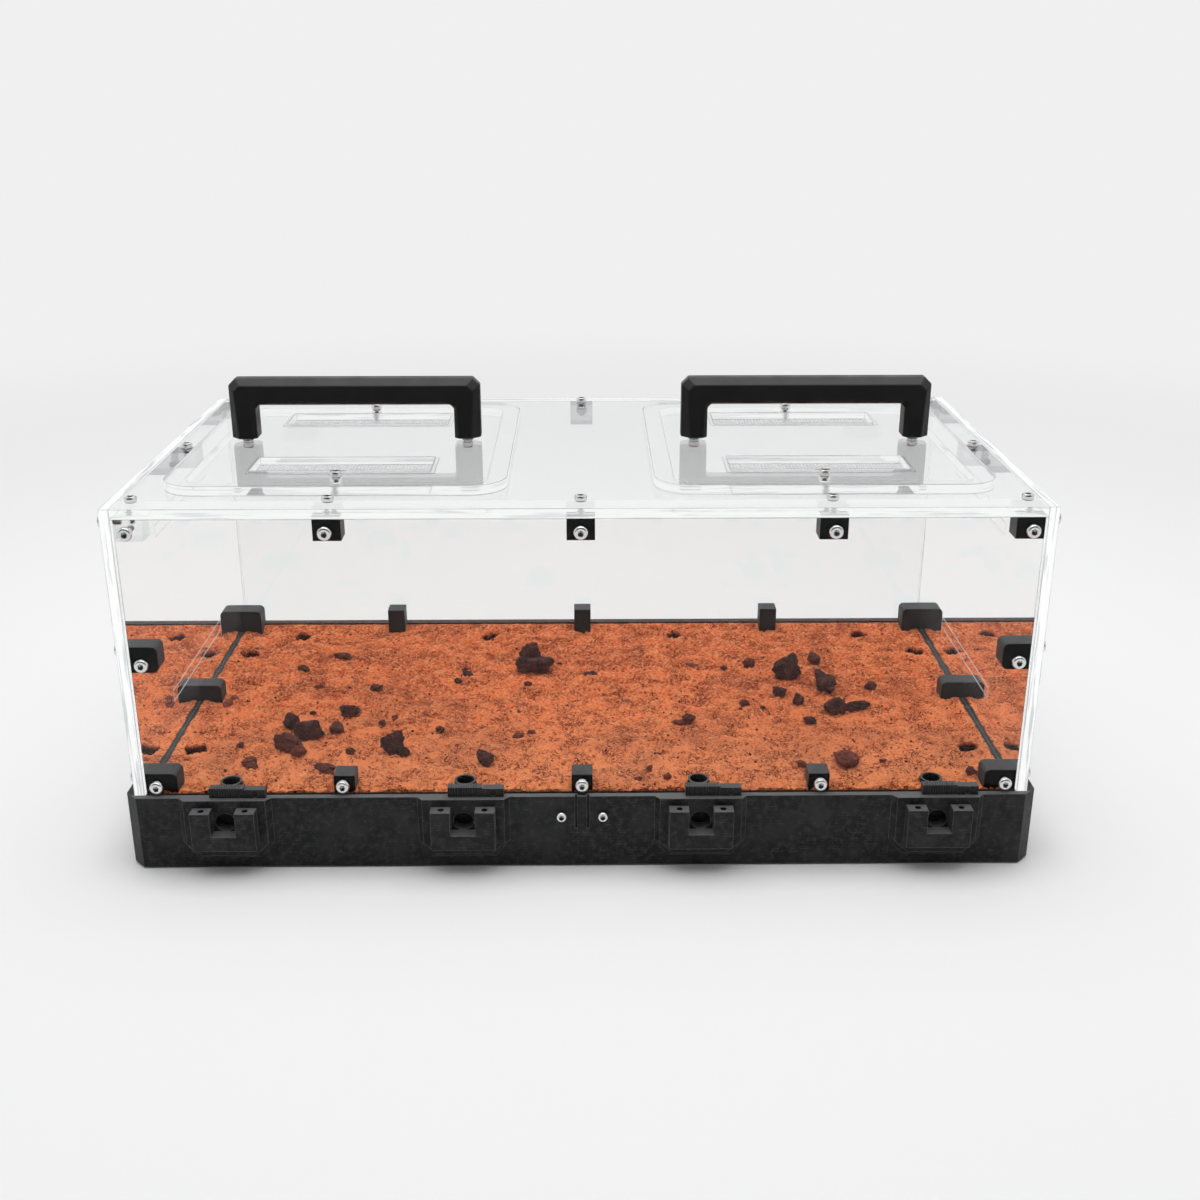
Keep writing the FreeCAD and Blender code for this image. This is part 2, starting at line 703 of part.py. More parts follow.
def front_and_back_posts():
    """Posts that stand on the tray's floor and hold the front and back panels."""
    posts = []
    back_posts = []
    for name, across in zip(("left", "centre", "right"), ROW):
        west = f"{across} - post_width / 2"
        east = f"{across} + post_width / 2"
        inner = f"-{INNER_Y} + post_depth"
        front = fixing_block(
            f"front_post_{name}", [(west, east, f"-{INNER_Y}", inner, "tray_floor", "post_top")],
            [((across, f"-{OUTER_Y}", "front_screw_level"), "+Y", "screw_length")])
        posts.append(keep(front, f"front_post_{name}"))
        rear_inner = f"{INNER_Y} - post_depth"
        back_posts.append(fixing_block(
            f"back_post_{name}",
            [(west, east, rear_inner, CAVITY_BACK, "tray_floor", "rear_post_top"),
             (west, east, rear_inner, INNER_Y, "rim", "rear_post_top")],
            [((across, OUTER_Y, "rear_screw_level"), "-Y", "screw_length")]))
    return posts + [keep(grouped("back_posts", back_posts), "back_posts")]


def span(side, inner, outer):
    """The west and east planes of a block on one side."""
    if side > 0:
        return inner, outer
    return f"-({outer})", f"-({inner})"


def side_and_corner_posts():
    """Posts in the tray's corners and at the middle of its sides."""
    posts = []
    rear_side_level = "corner_screw_level + screw_radius * 3"
    for name, side, heading in (("left", -1, "+X"), ("right", 1, "-X")):
        wall = f"{side} * {OUTER_X}"
        across = f"{side} * {SCREW_X}"
        low_span = span(side, f"{INNER_X} - corner_width", CAVITY_X)
        high_span = span(side, f"{INNER_X} - corner_width", INNER_X)
        inner = f"-{INNER_Y} + corner_depth"
        posts.append(keep(fixing_block(
            f"corner_post_front_{name}",
            [(*low_span, f"-{INNER_Y}", inner, "tray_floor", "corner_top"),
             (*high_span, f"-{INNER_Y}", inner, "rim", "corner_top")],
            [((across, f"-{OUTER_Y}", "front_screw_level"), "+Y", "screw_length"),
             ((wall, f"-{SIDE_SCREW_Y}", "corner_screw_level"), heading, "side_screw_length")],
            f"{side} * ({INNER_X} - corner_width)",
        ), f"corner_post_front_{name}"))
        low_span = span(side, f"{INNER_X} - rear_corner_width", CAVITY_X)
        high_span = span(side, f"{INNER_X} - rear_corner_width", INNER_X)
        rear_inner = f"{INNER_Y} - corner_depth"
        posts.append(keep(fixing_block(
            f"corner_post_back_{name}",
            [(*low_span, rear_inner, CAVITY_BACK, "tray_floor", "rear_post_top"),
             (*high_span, rear_inner, INNER_Y, "rim", "rear_post_top")],
            [((across, OUTER_Y, "rear_screw_level"), "-Y", "screw_length"),
             ((wall, SIDE_SCREW_Y, rear_side_level), heading, "side_screw_length")],
            f"{side} * ({INNER_X} - rear_corner_width)",
        ), f"corner_post_back_{name}"))
        low_span = span(side, f"{INNER_X} - side_post_width", CAVITY_X)
        high_span = span(side, f"{INNER_X} - side_post_width", INNER_X)
        posts.append(keep(fixing_block(
            f"side_post_{name}",
            [(*low_span, "-post_width / 2", "post_width / 2", "tray_floor", "side_post_top"),
             (*high_span, "-post_width / 2", "post_width / 2", "rim", "side_post_top")],
            [((wall, "0", "front_screw_level"), heading, "side_screw_length")],
            f"{side} * ({INNER_X} - side_post_width)",
        ), f"side_post_{name}"))
    return posts


def roof_clips():
    """Blocks under the roof that tie it to the walls, and the mid-height corner clips."""
    low = "wall_top - clip_height"
    front_planes = (f"-{INNER_Y}", f"-{INNER_Y} + clip_depth")
    back_planes = (f"{INNER_Y} - clip_depth", INNER_Y)
    for name, across in zip(("left", "centre", "right"), ROW):
        threads = [((across, f"-{OUTER_Y}", CLIP_LEVEL), "+Y", "screw_length"),
                   ((across, f"-{ROOF_SCREW_Y}", ROOF_TOP), "-Z", "screw_length")]
        keep(fixing_block(
            f"roof_clip_front_{name}",
            [(f"{across} - clip_width / 2", f"{across} + clip_width / 2", *front_planes, low, "wall_top")],
            threads), f"roof_clip_front_{name}")
    keep(fixing_block(
        "roof_clip_back", [("-clip_width / 2", "clip_width / 2", *back_planes, low, "wall_top")],
        [(("0", OUTER_Y, CLIP_LEVEL), "-Y", "screw_length"),
         (("0", ROOF_SCREW_Y, ROOF_TOP), "-Z", "screw_length")]), "roof_clip_back")
    for name, side, heading in (("left", -1, "+X"), ("right", 1, "-X")):
        wall = f"{side} * {OUTER_X}"
        across = f"{side} * {SCREW_X}"
        clip_span = span(side, f"{INNER_X} - clip_width", INNER_X)
        keep(fixing_block(
            f"roof_corner_front_{name}", [(*clip_span, *front_planes, low, "wall_top")],
            [((across, f"-{OUTER_Y}", CLIP_LEVEL), "+Y", "screw_length"),
             ((across, f"-{ROOF_SCREW_Y}", ROOF_TOP), "-Z", "screw_length"),
             ((wall, f"-{SIDE_SCREW_Y}", SIDE_TOP_LEVEL), heading, "side_screw_length")],
        ), f"roof_corner_front_{name}")
        keep(fixing_block(
            f"roof_corner_back_{name}", [(*clip_span, *back_planes, low, "wall_top")],
            [((across, OUTER_Y, CLIP_LEVEL), "-Y", "screw_length"),
             ((across, ROOF_SCREW_Y, ROOF_TOP), "-Z", "screw_length"),
             ((wall, SIDE_SCREW_Y, SIDE_TOP_LEVEL), heading, "side_screw_length")],
        ), f"roof_corner_back_{name}")
        keep(fixing_block(
            f"roof_clip_side_{name}",
            [(*clip_span, "side_clip_back - clip_width / 2", "side_clip_back + clip_width / 2",
              low, "wall_top")],
            [((across, "side_clip_back", ROOF_TOP), "-Z", "screw_length"),
             ((wall, "side_clip_back", f"{CLIP_LEVEL} - screw_radius"), heading, "side_screw_length")],
        ), f"roof_clip_side_{name}")
        keep(fixing_block(
            f"mid_clip_{name}",
            [(*clip_span, *front_planes, "mid_clip_low", "mid_clip_low + mid_clip_height")],
            [((across, f"-{OUTER_Y}", "mid_screw_level"), "+Y", "screw_length"),
             ((wall, f"-{SIDE_SCREW_Y}", "mid_side_screw_level"), heading, "side_screw_length")],
            f"{side} * ({INNER_X} - clip_width)",
        ), f"mid_clip_{name}")


# ---- gates ------------------------------------------------------------------------------------


def gate(index, centre):
    """A ribbed slider on the tray's front ledge, with the blade that closes the bore under it."""
    body = doc.addObject("PartDesign::Body", f"gate_{index}")
    back = f"-{OUTER_Y} - gate_panel_gap"
    front = f"{back} - gate_thick"
    bottom = "rim + gate_lift"
    blade_front = f"{BLADE_FRONT} + blade_gap"
    blade_back = f"{blade_front} + blade_thick"
    left_end = "gate_shift - gate_width / 2"
    profile = [
        (front, bottom), (blade_front, bottom), (blade_front, "blade_low"), (blade_back, "blade_low"),
        (blade_back, bottom), (back, bottom), (back, "gate_top"), (front, "gate_top"),
    ]
    section = outline(body, f"gate_section_{index}", "YZ_Plane", profile, left_end)
    extrude(body, "Pad", f"gate_pad_{index}", section, "gate_width")
    groove_start = f"{left_end} + rib_pitch - rib_groove / 2"
    groove_profile = [
        (front, bottom), (f"{front} + rib_depth", bottom), (f"{front} + rib_depth", "gate_top - rib_depth"),
        (back, "gate_top - rib_depth"), (back, "gate_top"), (front, "gate_top"),
    ]
    groove_section = outline(body, f"groove_section_{index}", "YZ_Plane", groove_profile, groove_start)
    solid_volume = body.Shape.Volume
    groove = extrude(body, "Pocket", f"groove_{index}", groove_section, "rib_groove", backwards=True)
    assert groove.Shape.Volume < solid_volume
    ribs = body.newObject("PartDesign::LinearPattern", f"ribs_{index}")
    ribs.Originals = [groove]
    ribs.Direction = (origin_part(body, "X_Axis"), [""])
    ribs.Occurrences = int(number("gate_width / rib_pitch") - 1)
    ribs.setExpression("Length", formula(f"rib_pitch * {ribs.Occurrences - 1}"))
    body.Tip = ribs
    return keep(place(body, (centre, "0", "0")), f"gate_{index}")


def gate_stop(index, centre):
    """A fixed block beside the gate, with a round pocket for its magnet."""
    back = f"-{OUTER_Y} - gate_panel_gap"
    front = f"{back} - gate_thick"
    west = f"{centre} + gate_shift + gate_width / 2 + stop_gap"
    middle = f"{west} + stop_width / 2"
    block = box(f"stop_block_{index}", west, f"{west} + stop_width", front, back, "rim", "stop_top")
    level = "(rim + stop_top) / 2"
    pocket = rod(f"stop_pocket_{index}", "magnet_radius", "magnet_thick + magnet_recess",
                 (middle, front, level), "+Y")
    keep(cut_out(f"stop_{index}", block, [pocket]), f"gate_stop_{index}")
    return rod(f"stop_magnet_{index}", "magnet_radius - thread_slack / 2", "magnet_thick",
               (middle, f"{front} + magnet_recess", level), "+Y")


# ---- lids -------------------------------------------------------------------------------------


def lid_plate(name, centre):
    """A lid: a rounded sheet with two vents, each with a rebate for its mesh underneath."""
    plate = rounded_plate(f"{name}_blank", centre, f"{LID_WIDTH} / 2", f"{LID_DEPTH} / 2",
                          ROOF_TOP, "acrylic", "lid_corner")
    cuts = []
    for side in (-1, 1):
        middle = f"({LID_Y} + {side} * {VENT_REACH})"
        cuts.append(box(f"{name}_vent_{side}", f"{centre} - {VENT_WIDTH} / 2", f"{centre} + {VENT_WIDTH} / 2",
                        f"{middle} - vent_depth / 2", f"{middle} + vent_depth / 2", ROOF_TOP, LID_TOP))
        cuts.append(box(f"{name}_rebate_{side}",
                        f"{centre} - {VENT_WIDTH} / 2 - mesh_lap", f"{centre} + {VENT_WIDTH} / 2 + mesh_lap",
                        f"{middle} - vent_depth / 2 - mesh_lap", f"{middle} + vent_depth / 2 + mesh_lap",
                        ROOF_TOP, f"{ROOF_TOP} + mesh_thick + mesh_slack"))
        locator = (centre, f"{LID_Y} + {side} * {LOCATOR_REACH}", LID_TOP)
        cuts.append(thread_hole(f"{name}_locator_hole_{side}", locator, "-Z", "acrylic"))
        leg = f"{centre} + {side} * {LEG_REACH}"
        cuts.append(clearance_hole(f"{name}_leg_hole_{side}", (leg, LID_Y, ROOF_TOP), "+Z"))
    return keep(cut_out(f"{name}_cut", plate, cuts), f"{name}_plate")


def lid_vents(name, centre):
    """The two fine steel meshes in the lid's underside."""
    meshes = []
    for side in (-1, 1):
        middle = f"({LID_Y} + {side} * {VENT_REACH})"
        half_width = f"({VENT_WIDTH} / 2 + mesh_lap - mesh_slack)"
        half_depth = "(vent_depth / 2 + mesh_lap - mesh_slack)"
        meshes.append(box(f"{name}_mesh_{side}", f"{centre} - {half_width}", f"{centre} + {half_width}",
                          f"{middle} - {half_depth}", f"{middle} + {half_depth}",
                          f"{ROOF_TOP} + mesh_slack", f"{ROOF_TOP} + mesh_slack + mesh_thick"))
    return keep(grouped(f"{name}_mesh_pair", meshes), f"{name}_vents")


def lid_handle(name, centre):
    """A bail handle: an upside-down U of square section with every long edge bevelled."""
    body = doc.addObject("PartDesign::Body", f"{name}_handle_bar")
    half = f"({HANDLE_LENGTH} / 2)"
    leg = f"({half} - handle_section)"
    rise = "handle_rise"
    under = "(handle_rise - bar_height)"
    bevel = "handle_end_bevel"
    corners = [
        (f"-{half}", "spacer_height"), (f"-{leg}", "spacer_height"), (f"-{leg}", under), (leg, under),
        (leg, "spacer_height"), (half, "spacer_height"), (half, f"{rise} - {bevel}"),
        (f"{half} - {bevel}", rise), (f"-{half} + {bevel}", rise), (f"-{half}", f"{rise} - {bevel}"),
    ]
    shape = outline(body, f"{name}_handle_shape", "XZ_Plane", corners)
    pad = extrude(body, "Pad", f"{name}_handle_pad", shape, "handle_section", both_ways=True)
    half_section = number("handle_section / 2")
    foot = number("spacer_height")
    soften(body, "Chamfer", f"{name}_handle_bevel", pad, "Size", "handle_edge_bevel",
           lambda edge: (all_at(edge, "y", half_section) or all_at(edge, "y", -half_section))
           and not all_at(edge, "z", foot))
    place(body, (centre, LID_Y, LID_TOP))
    holes = [
        rod(f"{name}_handle_hole_{side}", "screw_radius + thread_slack", "handle_screw_grip + thread_slack",
            (f"{centre} + {side} * {LEG_REACH}", LID_Y,
             f"{LID_TOP} + spacer_height"))
        for side in (-1, 1)
    ]
    return keep(cut_out(f"{name}_handle_cut", body, holes), f"{name}_handle")


def lid_hardware(name, centre):
    """The handle's spacers and screws, and the two locating screws that hang into the hatch."""
    spacers = []
    screws = []
    for side in (-1, 1):
        leg = f"{centre} + {side} * {LEG_REACH}"
        foot = (leg, LID_Y, LID_TOP)
        ring = rod(f"{name}_spacer_body_{side}", "spacer_radius", "spacer_height", foot)
        bore = rod(f"{name}_spacer_bore_{side}", "screw_radius + panel_slack", "spacer_height", foot)
        spacers.append(cut_out(f"{name}_spacer_{side}", ring, [bore]))
        screws.append(cap_screw(f"{name}_leg_screw_{side}", (leg, LID_Y, ROOF_TOP), "+Z",
                                "acrylic + spacer_height + handle_screw_grip"))
        locator = (centre, f"{LID_Y} + {side} * {LOCATOR_REACH}", LID_TOP)
        screws.append(cap_screw(f"{name}_locator_{side}", locator, "-Z"))
    keep(grouped(f"{name}_spacer_pair", spacers), f"{name}_spacers")
    keep(grouped(f"{name}_screw_set", screws), f"{name}_screws")


# ---- the whole habitat ------------------------------------------------------------------------

base_tray()
tube_outsides = [entrance_tube(index, centre) for index, centre in enumerate(port_centres(), start=1)]
buried_posts = front_and_back_posts() + side_and_corner_posts()
sand_bed(tube_outsides + buried_posts)
lava_stones()
panels()
roof_panel()
roof_clips()
screw_set("front_panel_screws", {"+Y": FRONT_SCREWS})
screw_set("back_panel_screws", {"-Y": BACK_SCREWS})
screw_set("side_panel_screws", {"-X": RIGHT_SCREWS, "+X": mirrored_x(RIGHT_SCREWS)}, "side_screw_length")
screw_set("roof_panel_screws", {"-Z": ROOF_SCREWS})
screw_set("tray_screws", {"+Y": TRAY_SCREWS}, "side_screw_length")
magnets = []
for index, centre in enumerate(port_centres(), start=1):
    gate(index, centre)
    magnets.append(gate_stop(index, centre))
keep(grouped("magnets", magnets), "stop_magnets")
for name, side in (("lid_left", -1), ("lid_right", 1)):
    centre = f"({side} * {LID_X})"
    lid_plate(name, centre)
    lid_vents(name, centre)
    lid_handle(name, centre)
    lid_hardware(name, centre)
doc.recompute()

for thing in doc.Objects:
    if "Invalid" in thing.State or "Error" in thing.State:
        raise RuntimeError(f"{thing.Name} failed: {thing.State}")
for part in finished:
    if part.Shape.isNull() or not part.Shape.isValid() or not part.Shape.Solids:
        raise RuntimeError(f"{part.Label} has no valid solid")

os.makedirs("parts", exist_ok=True)
for part in finished:
    part.Shape.exportStep(f"parts/{part.Label}.step")
    print(f"{part.Label}: {len(part.Shape.Solids)} solids, {part.Shape.Volume:.0f} mm3")
print(f"{len(finished)} sub-parts")
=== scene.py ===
import logging
import math
from dataclasses import dataclass
from enum import Enum
from functools import partial
from typing import Callable, Iterable, Sequence

import bpy
import numpy as np
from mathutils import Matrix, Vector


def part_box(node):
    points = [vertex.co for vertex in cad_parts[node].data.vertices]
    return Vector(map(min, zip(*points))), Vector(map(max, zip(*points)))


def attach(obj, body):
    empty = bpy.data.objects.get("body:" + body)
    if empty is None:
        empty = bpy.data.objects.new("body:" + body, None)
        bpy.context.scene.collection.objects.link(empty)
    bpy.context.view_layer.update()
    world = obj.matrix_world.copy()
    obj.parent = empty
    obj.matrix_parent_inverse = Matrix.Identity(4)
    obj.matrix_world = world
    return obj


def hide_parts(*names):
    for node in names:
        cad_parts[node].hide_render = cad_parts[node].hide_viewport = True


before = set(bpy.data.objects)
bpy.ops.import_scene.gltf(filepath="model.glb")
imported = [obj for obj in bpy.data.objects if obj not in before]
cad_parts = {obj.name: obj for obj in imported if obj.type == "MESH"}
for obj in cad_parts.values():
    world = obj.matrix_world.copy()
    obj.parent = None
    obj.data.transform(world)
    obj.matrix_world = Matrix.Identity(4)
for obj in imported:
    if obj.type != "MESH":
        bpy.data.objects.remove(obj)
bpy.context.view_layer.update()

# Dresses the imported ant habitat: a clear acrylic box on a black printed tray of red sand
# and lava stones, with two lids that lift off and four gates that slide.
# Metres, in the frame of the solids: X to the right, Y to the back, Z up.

MM = 0.001
Colour = tuple[float, float, float, float]
Point = tuple[float, float, float]
Material, Node, Socket = bpy.types.Material, bpy.types.Node, bpy.types.NodeSocket
Adder = Callable[..., Node]  # add_node, bound to the tree that a material or world is built in
log = logging.getLogger("ant_habitat")


# ---- colours and nodes ----


def linear(code: str) -> Colour:
    """Turns an sRGB hex value into Blender's linear colour.

    Args:
        code: six hex digits, red, green and blue.

    Returns:
        The linear colour with full alpha.
    """
    parts = [int(code[i : i + 2], 16) / 255 for i in (0, 2, 4)]
    flat = [p / 12.92 if p <= 0.04045 else ((p + 0.055) / 1.055) ** 2.4 for p in parts]
    return (*flat, 1.0)


def add_node(tree: bpy.types.NodeTree, kind: str, inputs: dict | list = (), **settings) -> Node:
    """Adds one shader node with its settings and links.

    Args:
        tree: the material's or world's node tree.
        kind: the node's type without its ShaderNode prefix.
        inputs: a value, hex colour, node or socket for each input, by name or in the node's order.
        settings: the node's own properties.

    Returns:
        The new node.
    """
    made = tree.nodes.new("ShaderNode" + kind)
    for name, value in settings.items():
        setattr(made, name, value)
    for name, value in inputs.items() if isinstance(inputs, dict) else enumerate(inputs):
        if isinstance(value, Node):
            value = value.outputs[0]
        if isinstance(value, Socket):
            tree.links.new(value, made.inputs[name])
        else:
            made.inputs[name].default_value = linear(value) if isinstance(value, str) else value
    return made


def per_metre(size_mm: float) -> float:
    """The scale at which a noise's features are about this many millimetres across."""
    return 1 / (size_mm * MM)


def sight(node: Adder) -> Node:
    """One for a ray that sees: from the camera, off a mirror or through glass.

    Args:
        node: adds a node to the material or world.

    Returns:
        The node with the one or the nought.
    """
    path = node("LightPath").outputs
    seen = node("Math", [path["Is Camera Ray"], path["Is Glossy Ray"]], operation="MAXIMUM")
    return node("Math", [seen, path["Is Transmission Ray"]], operation="MAXIMUM")


# ---- finishes ----


@dataclass(frozen=True)
class Finish:
    """What a surface is made of. Each kind builds its own shader."""

    name: str

    def surface(self, node: Adder) -> Node:
        """Builds the shader.

        Args:
            node: adds a node to the material.

        Returns:
            The shader's last node.
        """
        raise NotImplementedError

    def material(self) -> Material:
        """Makes the Blender material of this finish.

        Returns:
            The material.
        """
        made = bpy.data.materials.new(self.name)
        made.use_nodes = True
        made.node_tree.nodes.clear()
        node = partial(add_node, made.node_tree)
        node("OutputMaterial", [self.surface(node)])
        return made


@dataclass(frozen=True)
class PrintedPetg(Finish):
    """Black PETG from a filament printer: matt, with faint lying layers and grain, and painted highlights
    on its edges and on faces that look up.
    """

    colour: str = "0F0F10"
    pale_and_highlight: str = "5C5C5E"
    painted_top_light: float = 0.4  # painted top light: how pale the faces are that look up
    painted_top_light_before: float | None = None  # the y in front of which they are so, where not all are
    roughness: float = 0.48
    fuzz: float = 0.07  # the fine scatter of the layers' ridges, seen at a low angle
    layer_mm: float = 0.9  # real layers are 0.2 mm, drawn coarser so that they show
    grain_mm: float = 0.7
    edge_mm: float = 0.45
    # the strength of the painted edge highlight
    edge_highlight: float = 0.75

    def surface(self, node: Adder) -> Node:
        """Soft mottling and grain over a dark base, with a painted highlight where an edge turns and
        painted top light on faces that look up.

        Args:
            node: adds a node to the material.

        Returns:
            The shader's last node.
        """
        place = node("TexCoord").outputs["Object"]
        grain = node("TexNoise", {"Vector": place, "Scale": per_metre(self.grain_mm), "Detail": 3.0})
        clouds = node("TexNoise", {"Vector": place, "Scale": per_metre(14), "Detail": 4.0})
        layers = node("TexWave", {
            "Vector": place, "Scale": 2 * math.pi / (20 * self.layer_mm * MM), "Distortion": 0.6,
        }, bands_direction="Z")
        # painted highlight where an edge turns, broken by the grain
        rounded = node("Bevel", [self.edge_mm * MM], samples=4)
        flat = node("NewGeometry").outputs["Normal"]
        turn = node("VectorMath", [rounded, flat], operation="DOT_PRODUCT")
        edge = node("MapRange", [turn.outputs["Value"], 0.995, 0.85, 0, self.edge_highlight])
        grainy_edge_light = node("Math", [edge, grain], operation="MULTIPLY")
        mottled = node("MapRange", [clouds, 0.42, 0.72, 0, 0.06])
        streaked = node("TexNoise", {
            "Vector": place, "Scale": per_metre(3.5), "Detail": 3.0, "Roughness": 0.7,
        })
        streaked = node("MapRange", [streaked, 0.45, 0.7, 0, 0.16])
        streaked = node("Math", [streaked, layers], operation="MULTIPLY")
        mottled = node("Math", [mottled, streaked], operation="MAXIMUM")
        pale_and_highlight = node("Math", [grainy_edge_light, mottled], operation="MAXIMUM")
        # painted top light: faces that look up are paler, only in front of a given y where one is set
        upward = node("SeparateXYZ", [flat]).outputs["Z"]
        paled = node("MapRange", [upward, 0.3, 0.9, 0, self.painted_top_light])
        if self.painted_top_light_before is not None:
            front = node("SeparateXYZ", [place]).outputs["Y"]
            front = node("Math", [front, self.painted_top_light_before], operation="LESS_THAN")
            paled = node("Math", [paled, front], operation="MULTIPLY")
        pale_and_highlight = node("Math", [pale_and_highlight, paled], operation="MAXIMUM")
        colour = node("MixRGB", [pale_and_highlight, self.colour, self.pale_and_highlight])
        relief = node("Math", [layers, 0.45, grain], operation="MULTIPLY_ADD")
        bump = node("Bump", {"Height": relief, "Strength": 0.5, "Distance": 0.06 * MM, "Normal": rounded})
        rough = node("MapRange", [clouds, 0.3, 0.7, self.roughness - 0.06, self.roughness + 0.1])
        return node("BsdfPrincipled", {
            "Base Color": colour, "Roughness": rough, "Normal": bump, "IOR": 1.57,
            "Specular IOR Level": 0.2, "Sheen Weight": self.fuzz, "Sheen Roughness": 0.35,
        })


@dataclass(frozen=True)
class CastAcrylic(Finish):
    """Clear cast acrylic sheet with polished faces and sawn, flamed edges.

    Face on it is nearly invisible, and at a low angle it mirrors. Light that enters a sheet runs
    along inside it and comes out at the edges: a painted white glow, between thin grey lines of painted
    shade.
    """

    tint: str = "FAFBFB"
    ior: float = 1.49
    thin: int = 2  # the axis across the sheet: 0 for x, 1 for y, 2 for z
    mirror: float = 0.0
    mirror_from: float = 0.35
    inside: str = "EFF0F0"  # painted glow: the even colour of light that has run along a sheet, seen through its face
    edge_glow: str = "FFFFFF"
    edge_shade: str = "D3D8DA"
    edge_share: float = 0.95
    edge_within: float = 0.0  # the same share where an edge is seen from inside the sheet
    # painted shade: the grey of the thin lines drawn along the sheet's corners
    corner: str = "6C7072"
    corner_mm: float = 0.7
    trapped: int = 3  # how often light turns before it counts as running along the sheet
    rim_from: float | None = None  # the y from which the front rim gets a painted milky glow for trapped light
    # a side sheet's channels in mm: middle z, half their spacing, half their width and half their length
    channels: tuple[float, float, float, float] | None = None

    def surface(self, node: Adder) -> Node:
        """Glass for what is seen, and plain passage for the light that falls through it, with painted glows
        and painted grey corner lines over it.

        Args:
            node: adds a node to the material.

        Returns:
            The shader's last node.
        """
        place = node("TexCoord").outputs["Object"]
        path = node("LightPath").outputs
        tilt = node("LayerWeight", [0.5]).outputs["Facing"]
        shader = node("BsdfPrincipled", {
            "Base Color": self.tint, "Transmission Weight": 1.0, "IOR": self.ior, "Roughness": 0.0,
        })
        flat = node("NewGeometry").outputs["Normal"]
        spot = node("SeparateXYZ", [place]).outputs
        if self.mirror:
            share = node(
                "MapRange", [tilt, self.mirror_from, self.mirror_from + 0.3, 0, self.mirror],
                interpolation_type="SMOOTHSTEP",
            )
            gloss = node("BsdfGlossy", ["FFFFFF", 0.0])
            shader = node("MixShader", [share, shader, gloss])
        if self.channels:
            shader = self.milled(node, spot, shader)
        # painted glow: a milky band along the front rim
        if self.rim_from is not None:
            rim = node("Math", [spot["Y"], self.rim_from], operation="LESS_THAN")
            low = node("MapRange", [tilt, 0.35, 0.55, 0, 0.86])
            painted_rim_glow = node("Math", [rim, low], operation="MULTIPLY")
            painted_glow = node("Emission", ["F3F4F4"])
            shader = node("MixShader", [painted_rim_glow, shader, painted_glow])
        # painted glow: past this many turns an even colour stands in for the light that runs along the
        # sheet
        deep = node("Math", [path["Ray Depth"], self.trapped + 0.5], operation="GREATER_THAN")
        plain = node("Emission", [self.inside])
        shader = node("MixShader", [deep, shader, plain])

        # painted glow on the edges, white with grey streaks
        across = [float(axis == self.thin) for axis in range(3)]
        along = [per_metre(55) * float(axis != self.thin) for axis in range(3)]
        depth = node("VectorMath", [place, [per_metre(2.2) * a for a in across]], operation="DOT_PRODUCT")
        run = node("VectorMath", [place, along], operation="DOT_PRODUCT")
        drawn = node("CombineXYZ", [depth.outputs["Value"], run.outputs["Value"]])
        streaks = node("TexNoise", {"Vector": drawn, "Scale": 1.0, "Detail": 3.0, "Roughness": 0.6})
        banded = node("MapRange", [streaks, 0.54, 0.61])
        light = node("MixRGB", [banded, self.edge_glow, self.edge_shade])
        glow = node("Emission", [light])
        facing = node("VectorMath", [flat, across], operation="DOT_PRODUCT")
        facing = node("Math", [facing.outputs["Value"]], operation="ABSOLUTE")
        on_edge = node("MapRange", [facing, 0.6, 0.4])
        within = node("NewGeometry").outputs["Backfacing"]
        share = node("MapRange", [within, 0, 1, self.edge_share, self.edge_within])
        on_edge = node("Math", [on_edge, share], operation="MULTIPLY")
        shader = node("MixShader", [on_edge, shader, glow])

        # painted shade: thin grey lines along the corners, broken by the streaks
        rounded = node("Bevel", [self.corner_mm * MM], samples=3)
        turn = node("VectorMath", [rounded, flat], operation="DOT_PRODUCT")
        line = node("MapRange", [turn.outputs["Value"], 0.99, 0.88, 0, 0.95])
        broken = node("MapRange", [streaks, 0.4, 0.6, 1.0, 0.35])
        line = node("Math", [line, broken], operation="MULTIPLY")
        # painted shade: the corner line's flat grey
        satin = node("BsdfDiffuse", [self.corner])
        lined = node("MixShader", [line, shader, satin])
        near = node("Math", [path["Ray Depth"], 4.5], operation="LESS_THAN")
        shader = node("MixShader", [near, shader, lined])

        passing = node("Math", [path["Is Shadow Ray"], path["Is Diffuse Ray"]], operation="MAXIMUM")
        through = node("BsdfTransparent", ["FEFEFE"])
        return node("MixShader", [passing, shader, through])

    def milled(self, node: Adder, spot: bpy.types.bpy_prop_collection, shader: Node) -> Node:
        """Draws the walls of the two channels milled along a side sheet as bright lines of painted glow.

        Args:
            node: adds a node to the material.
            spot: the x, y and z of the place.
            shader: the shader to draw over.

        Returns:
            The shader with the lines.
        """
        middle, spacing, wide, long = (size * MM for size in self.channels)
        offset = spot["Z"]
        for level in (middle, spacing):
            offset = node("Math", [offset, level], operation="SUBTRACT")
            offset = node("Math", [offset], operation="ABSOLUTE")
        over = node("Math", [offset, wide], operation="SUBTRACT")
        past = node("Math", [spot["Y"]], operation="ABSOLUTE")
        past = node("Math", [past, long], operation="SUBTRACT")
        out = node("Math", [over, past], operation="MAXIMUM")
        out = node("Math", [out], operation="ABSOLUTE")
        line = node("MapRange", [out, 0.55 * MM, 0.3 * MM, 0, 0.6])
        # painted glow on the channels' walls
        painted_glow = node("Emission", ["D6D9DA"])
        return node("MixShader", [line, shader, painted_glow])


